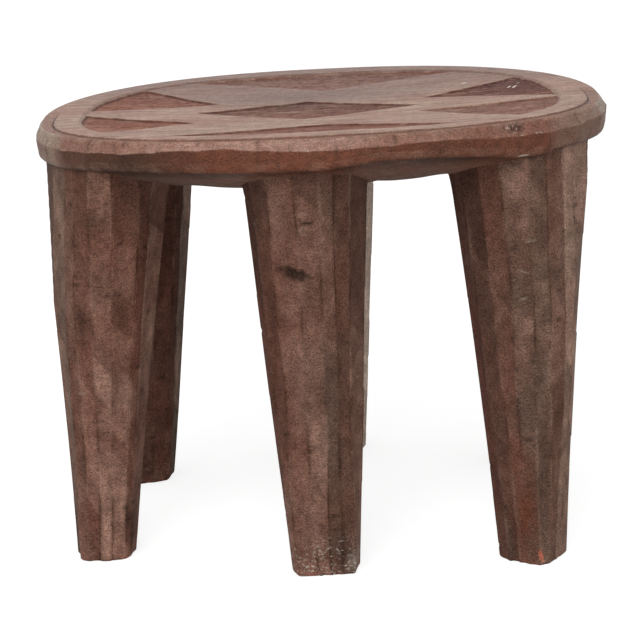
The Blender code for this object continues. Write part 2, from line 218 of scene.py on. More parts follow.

# Legs, near the solids, and their hewn flats. An arris is where two flats meet, in degrees to the right of
# straight ahead. The tone of the flat after it runs from -1, dark, to 1, pale, at the top of the leg and at
# its foot, and its hue from -1, olive, to 1, red. The tones are partly the wood's own and partly painted
# light and shade, set flat by flat, and a tone above 1 is a painted highlight. The twist is how far the
# arrises turn to the right on the way down. A foot is squared: turned some degrees to the right, sharper
# with a higher power, where 2 is round, and scaled.
LEG_TOP_WIDTH = 0.085
LEG_FOOT_WIDTH = 0.043
LEG_SET_BACK = 0.034
LEG_SPLAY = 0.010
LEG_SET_IN = 0.0010
FOOT_OVERHANG = 0.0120
FOOT_CHAMFER = 0.0014
FOOT_CHAMFER_HEIGHT = 0.0020
Foot = namedtuple("Foot", "turn power scale")
Leg = namedtuple("Leg", (
    "name turn set_backs tops feet bow splays_right splays_back foot twist arrises tones foot_tones hues"
))
LEGS = (
    Leg("leg_front_left", turn=206.9, set_backs=1.07, tops=1.06, feet=0.96, bow=-0.32,
        splays_right=-1.89, splays_back=0.86, foot=Foot(0.0, 3.2, 0.98), twist=2.0,
        arrises=(-150, -118, -86, -49, -31, -10, 12, 36, 51, 86, 116, 148, 178),
        tones=(0.2, -0.4, 0.5, -0.1, -0.1, 0.2, -0.5, -0.7, 0.6, -0.7, 0.3, -0.2, 0.1),
        foot_tones=(0.3, -0.2, -0.3, 0.1, 0.4, 0.8, 0.8, 0.6, 0.0, -0.5, 0.2, -0.2, 0.3),
        hues=(0.0, -0.4, -0.3, 0.5, 0.8, 0.5, 0.6, 0.9, 0.3, -0.4, 0.3, -0.3, 0.2)),
    Leg("leg_front_middle", turn=264.5, set_backs=1.45, tops=0.945, feet=1.07, bow=0.10,
        splays_right=0.10, splays_back=0.50, foot=Foot(-0.5, 8.0, 0.97), twist=-2.0,
        arrises=(-152, -120, -88, -62, -39, -11, 11, 28, 45, 78, 112, 147),
        tones=(0.1, -0.3, -0.8, -0.9, -0.2, -0.3, -0.3, -0.8, -0.7, -0.3, 0.3, -0.1),
        foot_tones=(0.2, -0.2, 0.2, 0.2, 0.4, 0.5, 0.0, 0.4, 1.0, 0.3, 0.3, 0.1),
        hues=(0.3, -0.4, 0.6, 0.5, 0.5, 0.3, 0.0, 0.2, 0.0, -0.4, 0.2, -0.2)),
    Leg("leg_front_right", turn=325.7, set_backs=1.28, tops=1.12, feet=1.06, bow=-0.28,
        splays_right=0.02, splays_back=-2.89, foot=Foot(-35.0, 4.5, 0.84), twist=6.0,
        arrises=(-148, -116, -92, -62, -40, -21, 1, 20, 42, 60, 87, 130),
        tones=(-0.2, 0.2, -0.2, -0.9, -0.2, 0.3, 0.0, 0.0, 0.6, 0.7, 0.3, -0.3),
        foot_tones=(-0.1, 0.3, -0.8, -0.8, -0.1, -0.7, -0.1, 0.3, 0.7, 0.6, 0.2, -0.2),
        hues=(0.2, -0.2, 0.8, 0.3, 0.6, -0.2, -0.5, 0.1, -0.5, -0.5, 0.1, 0.4)),
    Leg("leg_back_left", turn=143.4, set_backs=1.06, tops=1.00, feet=1.00, bow=0.15,
        splays_right=-1.43, splays_back=1.20, foot=Foot(20.0, 3.2, 1.0), twist=-4.0,
        arrises=(-155, -122, -95, -70, -36, -10, 22, 48, 61, 97, 121, 152, 177),
        tones=(0.3, -0.3, 0.4, -0.4, 0.1, -0.5, -0.8, -0.6, 1.3, 0.2, 0.5, -0.5, 0.2),
        foot_tones=(0.4, 0.1, 0.3, -0.3, 0.2, 0.0, 0.2, 0.2, 0.1, 0.3, 0.4, -0.3, 0.4),
        hues=(0.1, 0.6, -0.4, 0.3, -0.7, 0.7, 0.8, 0.6, -0.9, 0.4, -0.2, 0.7, -0.5)),
    Leg("leg_back_middle", turn=88.9, set_backs=1.44, tops=0.97, feet=1.00, bow=0.10,
        splays_right=0.00, splays_back=0.90, foot=Foot(-8.0, 3.2, 1.0), twist=3.0,
        arrises=(-149, -127, -92, -63, -30, -5, 24, 50, 72, 106, 140, 174),
        tones=(0.4, -0.3, 0.2, -0.5, 0.1, -0.2, 0.3, 1.6, 0.3, 0.5, 0.2, -0.5),
        foot_tones=(0.3, -0.1, 0.3, -0.3, 0.3, 0.0, 0.2, 1.4, 0.2, 0.6, 0.3, -0.2),
        hues=(-0.6, 0.4, 0.8, -0.3, 0.5, -0.8, 0.2, -1.0, -0.6, 0.3, -0.2, 0.7)),
    Leg("leg_back_right", turn=36.8, set_backs=1.03, tops=1.00, feet=1.00, bow=0.15,
        splays_right=0.95, splays_back=0.80, foot=Foot(5.0, 2.8, 0.97), twist=-5.0,
        arrises=(-158, -130, -97, -68, -44, -12, 15, 47, 76, 104, 133, 160, 180),
        tones=(-0.3, 0.4, -0.1, 0.3, -0.5, 0.2, -0.4, 0.5, -0.2, 0.3, -0.6, 0.1, 0.4),
        foot_tones=(-0.1, 0.5, 0.2, 0.3, -0.2, 0.4, -0.1, 0.6, 0.1, 0.3, -0.3, 0.3, 0.2),
        hues=(0.5, -0.7, 0.3, -0.2, 0.8, -0.5, 0.1, -0.6, 0.6, 0.2, -0.4, 0.7, -0.3)),
)

# What only the looks have on a leg
FOOT_SQUARED_TO = 0.45
ARRIS_WANDER = 1.6
ARRIS_WAVE_LENGTH = 1.3
ARRIS_WAVES = 4
ARRIS_UNEVENNESS = 0.020
ARRIS_ROUNDING = 0.0004
ARRIS_ROUNDING_REACH = 0.0014
ARRIS_LINE_REACH = 0.0009
FLAT_HOLLOW = 0.0008
FLAT_HOLLOW_SHARES = (-0.2, 1.0)
ROOT_FLARE = 0.0030
ROOT_FLARE_REACH = 0.0050
ROOT_IN_SEAT = 0.0060
Gouge = namedtuple("Gouge", "leg place slant half_width half_height depth kept_as")
GOUGES = (
    Gouge("leg_front_middle", (-0.0238, -0.1695, 0.2092), 15.0, 0.0112, 0.0040, 0.0024, "torn"),
    Gouge("leg_front_middle", (-0.0135, -0.1690, 0.2425), 8.0, 0.0055, 0.0007, 0.0006, "torn"),
    Gouge("leg_front_right", (0.1312, -0.1520, 0.0066), 75.0, 0.0046, 0.0017, 0.0010, "bare"),
)
GOUGE_RAGGEDNESS = 0.15
GOUGE_RAG_SHARE = 0.4
GOUGE_STEEPNESS = 2.2
GOUGE_REACH = 1.25
LANE_SPACING = 7.3
HALVINGS = 14
LEG_SHARP_ANGLE = 20.0
LEG_COLUMNS = 176
FEWEST_FLAT_COLUMNS = 6
LEG_ROWS = 190
FOOT_ROWS = 4

# Colours as they look, red, green and blue from 0 to 1
STAIN = (0.398, 0.260, 0.192)
STAIN_RED = (0.412, 0.230, 0.160)
STAIN_DARK = (0.225, 0.140, 0.095)
LEG_STAIN = (0.402, 0.295, 0.252)
LEG_RED = (0.413, 0.268, 0.222)
LEG_OLIVE = (0.384, 0.315, 0.272)
WORN_WOOD = (0.522, 0.418, 0.364)
# The pale colours of the top that stands proud are rubbed wood with painted sheen, as of a top seen at a
# grazing angle
RUBBED_WITH_SHEEN = (0.665, 0.550, 0.475)
RUBBED_PINK_WITH_SHEEN = (0.635, 0.480, 0.420)
RUBBED_BACK_WITH_SHEEN = (0.550, 0.448, 0.406)
PURPLE_TINGE = (0.430, 0.350, 0.338)
BAND_WORN_AND_LIT = (0.610, 0.480, 0.430)
END_SHEEN = (0.575, 0.505, 0.445)
FLOOR_RED = (0.520, 0.300, 0.225)
FLOOR_DARK = (0.320, 0.170, 0.150)
LINE_DARK = (0.230, 0.130, 0.110)
GRIME = (0.150, 0.110, 0.085)
BARE_WOOD = (0.720, 0.420, 0.330)
SCUFF = (0.700, 0.650, 0.600)
WHITE = (0.900, 0.870, 0.830)
SEAT_HUE = 0.8
SEAT_SPECULAR = 0.17
LEG_SPECULAR = 0.04
RUBBED_ROUGHNESS = 0.44
CARVED_ROUGHNESS = 0.66
LEG_ROUGHNESS = 0.60
SEAT_GRAIN = 0.42
LEG_GRAIN = 0.46

# Patterns in the wood: the size of their lumps in metres, how fine they break up, and how much longer they
# are along each axis. The grain is lines from side to side, dust and blotches, each with its weight.
Pattern = namedtuple("Pattern", "size detail stretch roughness", defaults=((1.0, 1.0, 1.0), 0.55))
STAIN_CLOUDS = Pattern(0.030, 4.0, (1.0, 1.0, 2.0))
STAIN_PATCHES = Pattern(0.040, 6.0, (0.8, 0.8, 1.7))
RUBBED_STREAKS = Pattern(0.0055, 5.0, (7.0, 1.0, 1.0))
RUBBED_CLOUDS = Pattern(0.028, 4.0, (2.5, 1.0, 1.0))
RIM_PATCHES = Pattern(0.0080, 5.0, (2.0, 1.0, 1.0))
TORN_FIBRES = Pattern(0.0022, 3.0)
LEG_MOTTLE = Pattern(0.014, 4.0, (1.0, 1.0, 1.5))
LEG_WEAR = Pattern(0.012, 4.0, (1.0, 1.0, 3.0))
LEG_GRIME = Pattern(0.030, 6.0, (1.0, 1.0, 2.0))
FOOT_SCUFFS = Pattern(0.0018, 3.0, (1.4, 1.4, 1.0))
GRAIN = (
    (Pattern(0.0008, 2.0, (6.0, 1.0, 1.0), 0.6), 0.7),
    (Pattern(0.0009, 1.0), 1.3),
    (Pattern(0.0060, 3.0), 0.55),
)
GRAIN_SPAN = (0.975, 1.575)
GRAIN_BUMP = 0.0005
GRAIN_BUMP_STRENGTH = 0.5
GRAIN_ROUGHNESS = 0.06

# How coats follow a pattern, a tone or a place: its span, then what that gives at the two ends of the span,
# which is 0 and 1 where it isn't said
CLOUDS_TO_HUE = (0.35, 0.65, -0.35, 0.35)
DARK_BY_PATCHES = (0.56, 0.72, 0.0, 0.35)
PINK_BY_CLOUDS = (0.42, 0.60)
DULL_TOWARDS_BACK = (0.02, 0.11)
TINGE_BY_STREAKS = (0.36, 0.60, 0.45, 0.90)
FLOOR_BY_STREAKS = (0.50, 0.66, 0.0, 0.5)
RUBBED_AND_SHEEN_BY_STREAKS = (0.34, 0.62, 0.35, 0.95)
GROOVE_SHADE_BY_STREAKS = (0.36, 0.52, 0.5, 0.9)
BAND_BY_PATCHES = (0.34, 0.60, 0.55, 0.90)
END_BY_PATCHES = (0.36, 0.58, 0.50, 0.95)
FLAT_START_BY_PATCHES = (0.35, 0.55, 0.6, 0.1)
EDGE_BY_PATCHES = (0.44, 0.66, 0.0, 0.6)
CHIP_BY_PATCHES = (0.44, 0.52)
RIM_FOOT_SHADE_BY_PATCHES = (0.35, 0.60, 0.9, 0.4)
DARK_BY_FIBRES = (0.56, 0.44, 0.0, 0.6)
PALE_BY_FIBRES = (0.56, 0.64, 0.0, 0.7)
MOTTLE_TO_TONE = (0.3, 0.7, -0.42, 0.42)
PALE_WOOD_BY_TONE = (0.0, 1.2, 0.0, 0.50)
# Painted highlight on flats with a tone above 1
HIGHLIGHT_BY_TONE = (1.0, 2.0)
PALE_ARRIS_BY_WEAR = (0.50, 0.65, 0.0, 0.5)
DARK_ARRIS_BY_WEAR = (0.52, 0.38, 0.0, 0.8)
GRIME_BY_CLOUDS = (0.58, 0.74, 0.0, 0.35)
PATCH_BY_WEAR = (0.62, 0.42)
SCUFFS_BY_SPECKS = (0.55, 0.66)
SCUFFS_BY_HEIGHT = (0.034, 0.006)
SCUFFS_BY_FOOT = (0.0, 1.0, 0.12, 0.95)
RAW_BY_WEAR = (0.4, 0.6)
RAW_BY_FOOT = (0.0, 1.0, 0.35, 1.0)

# Plain strengths of some coats, how much the flats and the strokes count, how many stops of light a tone is
# worth, how weak a leg's patch gets, and how it is squeezed from front to back
PECK_COAT = 0.75
CHIP_COAT = 0.8
UNDERSIDE_COAT = 0.35
LIP_CHIP_COAT = 0.7
NICK_COAT = 0.6
TORN_COAT = 0.85
SCRATCH_COAT = 0.30
FLAT_TONE_IN_PATCHES = 0.05
STROKE_IN_TONE = 0.32
TONE_STOPS = 0.7
PATCH_LEAST = 0.3
PATCH_DEPTH_SQUEEZE = 0.3

# White dabs on the carving, in plan, the scuffed place on the rim, the chip in its lip, and where the rubbed
# top has a purple tinge
Dab = namedtuple("Dab", "x y half_width half_depth turn strength")
WHITE_DABS = (
    Dab(0.1366, 0.0380, half_width=0.0010, half_depth=0.0046, turn=25.0, strength=1.0),
    Dab(0.1402, 0.0362, half_width=0.0011, half_depth=0.0052, turn=25.0, strength=1.0),
    Dab(0.1445, 0.0519, half_width=0.0008, half_depth=0.0034, turn=25.0, strength=0.4),
    Dab(0.1066, 0.0672, half_width=0.0022, half_depth=0.0040, turn=25.0, strength=0.4),
)
RIM_SCUFF = (0.1210, -0.1547, 0.2940)
RIM_SCUFF_REACH = 0.0068
RIM_SCUFF_SQUEEZE = (0.7, 0.7, 1.6)
LIP_CHIP = (0.1264, -0.1516, 0.2755)
LIP_CHIP_REACH = 0.0016
LIP_CHIP_SQUEEZE = (0.30, 0.30, 2.2)
TINGE_PLACE = (-0.015, 0.050, 0.0)
TINGE_HALF_WIDTH = 0.125
TINGE_HALF_DEPTH = 0.050

# Patches on the legs, in front view, some with degrees that they slant down to the right
Patch = namedtuple("Patch", "x y z half_width half_height strength colour slant", defaults=(0.0,))
LEG_PATCHES = (
    # The first two are painted shade on the front left leg, just under the rim; the rest are grime, stain,
    # wear and scuffs
    Patch(-0.1490, -0.1280, 0.2430, 0.0190, 0.0120, strength=0.45, colour=GRIME),
    Patch(-0.1500, -0.1250, 0.2680, 0.0120, 0.0130, strength=0.90, colour=STAIN_DARK),
    Patch(0.0070, -0.1450, 0.0095, 0.0060, 0.0100, strength=0.50, colour=SCUFF),
    Patch(-0.1640, -0.1150, 0.1720, 0.0085, 0.0200, strength=0.60, colour=GRIME),
    Patch(0.1330, -0.1600, 0.1370, 0.0080, 0.0270, strength=0.65, colour=GRIME),
    Patch(0.0030, -0.1440, 0.0200, 0.0110, 0.0330, strength=0.60, colour=GRIME),
    Patch(-0.1430, -0.0960, 0.0280, 0.0070, 0.0240, strength=0.60, colour=GRIME),
    Patch(0.1205, -0.1480, 0.0420, 0.0130, 0.0560, strength=0.70, colour=STAIN_RED, slant=-6.0),
    Patch(-0.0150, -0.1690, 0.2485, 0.0070, 0.0032, strength=0.32, colour=WORN_WOOD, slant=-12.0),
    Patch(-0.0150, -0.1690, 0.2375, 0.0065, 0.0042, strength=0.32, colour=WORN_WOOD),
    Patch(-0.0190, -0.1690, 0.2080, 0.0100, 0.0018, strength=0.35, colour=WORN_WOOD, slant=18.0),
    Patch(0.1245, -0.1590, 0.1990, 0.0066, 0.0009, strength=0.70, colour=SCUFF, slant=20.0),
)

# The most scuffed foot, the front middle one
SCUFFED_FOOT = (-0.0050, -0.1300, 0.0)
SCUFFED_FOOT_REACH = 0.0450

# Light: what the white surroundings give, one large soft lamp above the front, and the ground, with its
# grey for the camera, what it throws back as light, and its glow for the camera
SURROUNDINGS_LIGHT = 0.68
SOFT_LAMP_PLACE = (-0.35, -1.6, 1.8)
SOFT_LAMP_AIM = (0.0, 0.0, 0.2)
SOFT_LAMP_SIZE = 1.3
SOFT_LAMP_POWER = 30.0
GROUND_SIZE = 40.0
GROUND_DROP = 0.0002
GROUND_GREY = 0.35
GROUND_BOUNCE = 0.75
GROUND_GLOW = 0.80

# Camera, as the photograph was taken
CAMERA_PLACE = (-0.00735, -1.4375, 0.4883)
CAMERA_DIP = 13.67
CAMERA_ROLL = 2.9
CAMERA_LENS = 115.93

# Tool marks: the inputs of the trees that make them. A leg's lanes are above 1, so its dents fall anywhere.
# Dents are strewn, and kept, where a value is in or above a span. A dent's slope is in reaches.
SEED = 7
SEAT_DENTS = (
    {"Where": "floor", "Kept As": "peck", "Per Square Metre": 52000.0, "Reach": 0.0011, "Depth": 0.0004,
     "Squeeze": (0.45, 1.0, 1.0), "Seed": SEED},
    {"Where": "nicked", "Kept As": "chip", "Per Square Metre": 18000.0, "Reach": 0.0008, "Depth": 0.0004,
     "Squeeze": (0.6, 0.6, 1.0), "Seed": SEED + 1},
)
DENTS_STREWN = (0.5, 0.9)
DENTS_KEPT = (0.3, 0.7)
DENT_SLOPE = (1.0, 0.25)
STROKES_OFF_ARRIS = (0.1, 0.7, 1.0, 0.0)
LEG_STROKES = {"Stroke Length": 0.060, "Slant": 0.25, "Depth": 0.0005}
LEG_DENTS = (
    {"Where": "lane", "Kept As": "nick", "Per Square Metre": 420.0, "Reach": 0.0020, "Depth": 0.0006,
     "Squeeze": (0.5, 0.5, 1.0), "Seed": SEED},
    {"Where": "lane", "Kept As": "scratch", "Per Square Metre": 90.0, "Reach": 0.0007, "Depth": 0.0002,
     "Squeeze": (0.13, 0.20, 1.0), "Seed": SEED + 20},
)


class Oval:
    """Superellipse with its own depth in front of and behind its widest line."""

    def __init__(self, half_width, to_front, to_back, power):
        self.half_width = half_width
        self.to_front = to_front
        self.to_back = to_back
        self.power = power

    def points(self, turns, share=1.0):
        """Points at some turns, drawn in to a share of the way out from the middle of the widest line."""
        across = np.cos(turns)
        along = np.sin(turns)
        out = share * (np.abs(across) ** self.power + np.abs(along) ** self.power) ** (-1.0 / self.power)
        depth = np.where(along > 0.0, self.to_back, self.to_front)
        return np.stack((out * self.half_width * across, out * depth * along - WIDEST_FORWARD), axis=-1)

    def points_inside(self, turns, distance):
        """Points at some turns, a distance inside the edge."""
        edge = self.points(turns)
        return self.points(turns, 1.0 - distance / np.hypot(edge[..., 0], edge[..., 1] + WIDEST_FORWARD))

    def share(self, x, y):
        """0 in the middle of the widest line, 1 on the edge."""
        behind = y + WIDEST_FORWARD
        depth = np.where(behind > 0.0, self.to_back, self.to_front)
        across = np.abs(x) / self.half_width
        return (across ** self.power + (np.abs(behind) / depth) ** self.power) ** (1.0 / self.power)

    def distance_inside(self, x, y):
        """How far places are inside the edge, along the line out from the middle."""
        share = np.maximum(self.share(x, y), SMALLEST_SHARE)
        return np.hypot(x, y + WIDEST_FORWARD) * (1.0 / share - 1.0)

    def inset(self, distance):
        """The same oval, smaller by a distance all round."""
        sizes = (self.half_width, self.to_front, self.to_back)
        return Oval(*(size - distance for size in sizes), self.power)


OUTLINE = Oval(
    SEAT_WIDTH / 2,
    SEAT_DEPTH / 2 - WIDEST_FORWARD,
    SEAT_DEPTH / 2 + WIDEST_FORWARD,
    OUTLINE_POWER,
)
LOWER_EDGE = OUTLINE.inset(RIM_UNDERCUT)
TOP_EDGE = OUTLINE.inset(UPPER_BAND_LEAN)
FIELD = Oval(
    OUTLINE.half_width - BORDER_AT_SIDES,
    OUTLINE.to_front - BORDER_AT_FRONT,
    OUTLINE.to_back - BORDER_AT_BACK,
    FIELD_POWER,
)


def held(value):
    """Value held between 0 and 1."""
    return np.clip(value, 0.0, 1.0)


def smooth_step(value, low, high):
    """0 below low, 1 above high, and a smooth rise between them."""
    share = held((value - low) / (high - low))
    return share * share * (3.0 - 2.0 * share)


def between(turn, first, last, fade):
    """1 between two turns, 0 elsewhere, with a smooth rise and fall over a fade on both sides of each."""
    rise = smooth_step(turn, first - fade, first + fade)
    return rise * (1.0 - smooth_step(turn, last - fade, last + fade))


def belly_height(share):
    """Height of the underside of the seat at some shares of the way out to its edge."""
    return RIM_BOTTOM - BELLY_DEPTH * (1.0 - share ** BELLY_POWER)


def waves(value, longest, count, seed):
    """Smooth irregular wave from about -1 to 1: some sines, the longest of the given length."""
    random = np.random.default_rng(seed)
    total = np.zeros_like(value)
    for number in range(1, count + 1):
        phase = random.uniform(0.0, 2.0 * pi)
        total = total + np.sin(2.0 * pi * number * value / longest + phase) / number ** 0.5
    return total / count ** 0.5


def swell(x, y, length, seed):
    """Smooth irregular swell from about -1 to 1 over a plane, with hollows of about the given length."""
    random = np.random.default_rng(seed)
    total = np.zeros_like(x)
    for _ in range(SWELL_WAVES):
        heading = random.uniform(0.0, 2.0 * pi)
        size = length * random.uniform(*SWELL_LENGTHS)
        phase = random.uniform(0.0, 2.0 * pi)
        total = total + np.sin(2.0 * pi * (x * np.cos(heading) + y * np.sin(heading)) / size + phase)
    return total / SWELL_WAVES ** 0.5


def spread_evenly(points, spacing, closed=True):
    """Points along a line of points, about a spacing apart, with the line's own corners kept."""
    ends = np.roll(points, -1, axis=0) if closed else points[1:]
    pieces = []
    for start, end in zip(points, ends):
        steps = max(1, round(float(np.hypot(*(end - start))) / spacing))
        pieces.append(start + (end - start) * (np.arange(steps)[:, None] / steps))
    if not closed:
        pieces.append(points[-1:])
    return np.concatenate(pieces)


def bowed_side(start, end, bow):
    """Points from start towards end, without the end, that bow out to the right of the way."""
    run = end - start
    length = np.hypot(*run)
    shares = np.arange(0.0, 1.0, LOOP_SPACING / length)[:, None]
    right = np.array((run[1], -run[0])) / length
    return start + run * shares + right * (4.0 * bow * shares * (1.0 - shares))


def hand_cut(outline, seed):
    """Outline with the small wobble of a hand-held tool."""
    way = np.cumsum(np.hypot(*(np.roll(outline, -1, axis=0) - outline).T))
    longest = WOBBLE_LONGEST * way[-1]
    shift = np.stack([waves(way, longest, WOBBLE_WAVES, seed + axis) for axis in range(2)], axis=-1)
    return outline + CARVING_WOBBLE * shift


def recess_tip(recess):
    """Inner tip of a recess."""
    return FIELD.points_inside(radians(recess.tip), recess.reaches * RECESS_REACH)


def recess_outline(recess):
    """Outline of a recess: along the edge of the field, a hair inside it, then to the tip and back."""
    edge = FIELD.inset(RECESS_WALL_RUN)
    first = radians(recess.first)
    last = radians(recess.last)
    arc = edge.points(np.linspace(first, last, RECESS_ARC_POINTS, endpoint=False))
    tip = recess_tip(recess)
    bow = recess.bows * RECESS_BOW
    sides = ((edge.points(last), tip), (tip, edge.points(first)))
    return np.concatenate((arc, *(bowed_side(*side, bow) for side in sides)))


def lozenge_corners():
    """Right, back, left and front corners of the lozenge near the middle of the field."""
    quarters = 0.5 * pi * np.arange(4) - radians(LOZENGE_TURN)
    halves = np.array((LOZENGE_LENGTH, LOZENGE_WIDTH, LOZENGE_LENGTH, LOZENGE_WIDTH)) / 2
    middle = np.array((-LOZENGE_LEFT, LOZENGE_BACK - WIDEST_FORWARD))
    return middle + halves[:, None] * np.stack((np.cos(quarters), np.sin(quarters)), axis=-1)


def lozenge_outline():
    """Outline of the lozenge."""
    corners = lozenge_corners()
    return np.concatenate([bowed_side(*side, 0.0) for side in zip(corners, np.roll(corners, -1, axis=0))])


def run_on(start, tip):
    """Cut that runs on past a tip, in line with the side that comes from start."""
    return tip, tip + OVERCUT_LENGTH * (tip - start) / np.hypot(*(tip - start))


def score_inset(degrees):
    """How far the scored line is inside the edge of the top, which is least along the front."""
    front = smooth_step(np.abs(np.sin(np.radians(degrees))), *SCORE_NEARS_EDGE)
    return SCORE_INSET_AT_ENDS + (SCORE_INSET_AT_FRONT - SCORE_INSET_AT_ENDS) * front


def nearest_on(start, end, x, y):
    """How far along a straight cut its nearest point to some places is, from 0 to 1, and how far off."""
    run = end - start
    share = held(((x - start[0]) * run[0] + (y - start[1]) * run[1]) / (run @ run))
    return share, np.hypot(x - start[0] - share * run[0], y - start[1] - share * run[1])


def distance_in(outline, x, y):
    """How far places are inside an outline, below 0 outside, for places near it. Far ones are set to -1."""
    low = outline.min(axis=0) - NEAR_OUTLINE
    high = outline.max(axis=0) + NEAR_OUTLINE
    near = np.flatnonzero((x > low[0]) & (x < high[0]) & (y > low[1]) & (y < high[1]))
    px = x[near]
    py = y[near]
    nearest = np.full(len(near), 1.0)
    inside = np.zeros(len(near), dtype=bool)
    for start, end in zip(outline, np.roll(outline, -1, axis=0)):
        nearest = np.minimum(nearest, nearest_on(start, end, px, py)[1])
        run = end - start
        if run[1] != 0.0:
            crosses = (start[1] > py) != (end[1] > py)
            inside ^= crosses & (px < start[0] + run[0] * (py - start[1]) / run[1])
    distances = np.full(len(x), -1.0)
    distances[near] = np.where(inside, nearest, -nearest)
    return distances


def shrunk(outline, distance):
    """Outline moved inwards, with mitred corners that stay short."""
    before = outline - np.roll(outline, 1, axis=0)
    after = np.roll(outline, -1, axis=0) - outline
    before = before / np.hypot(*before.T)[:, None]
    after = after / np.hypot(*after.T)[:, None]
    left = np.stack((-before[:, 1] - after[:, 1], before[:, 0] + after[:, 0]), axis=-1)
    left = left / np.hypot(*left.T)[:, None]
    lean = left[:, 0] * -after[:, 1] + left[:, 1] * after[:, 0]
    return outline + left * (distance / np.maximum(lean, SHORTEST_MITRE))[:, None]


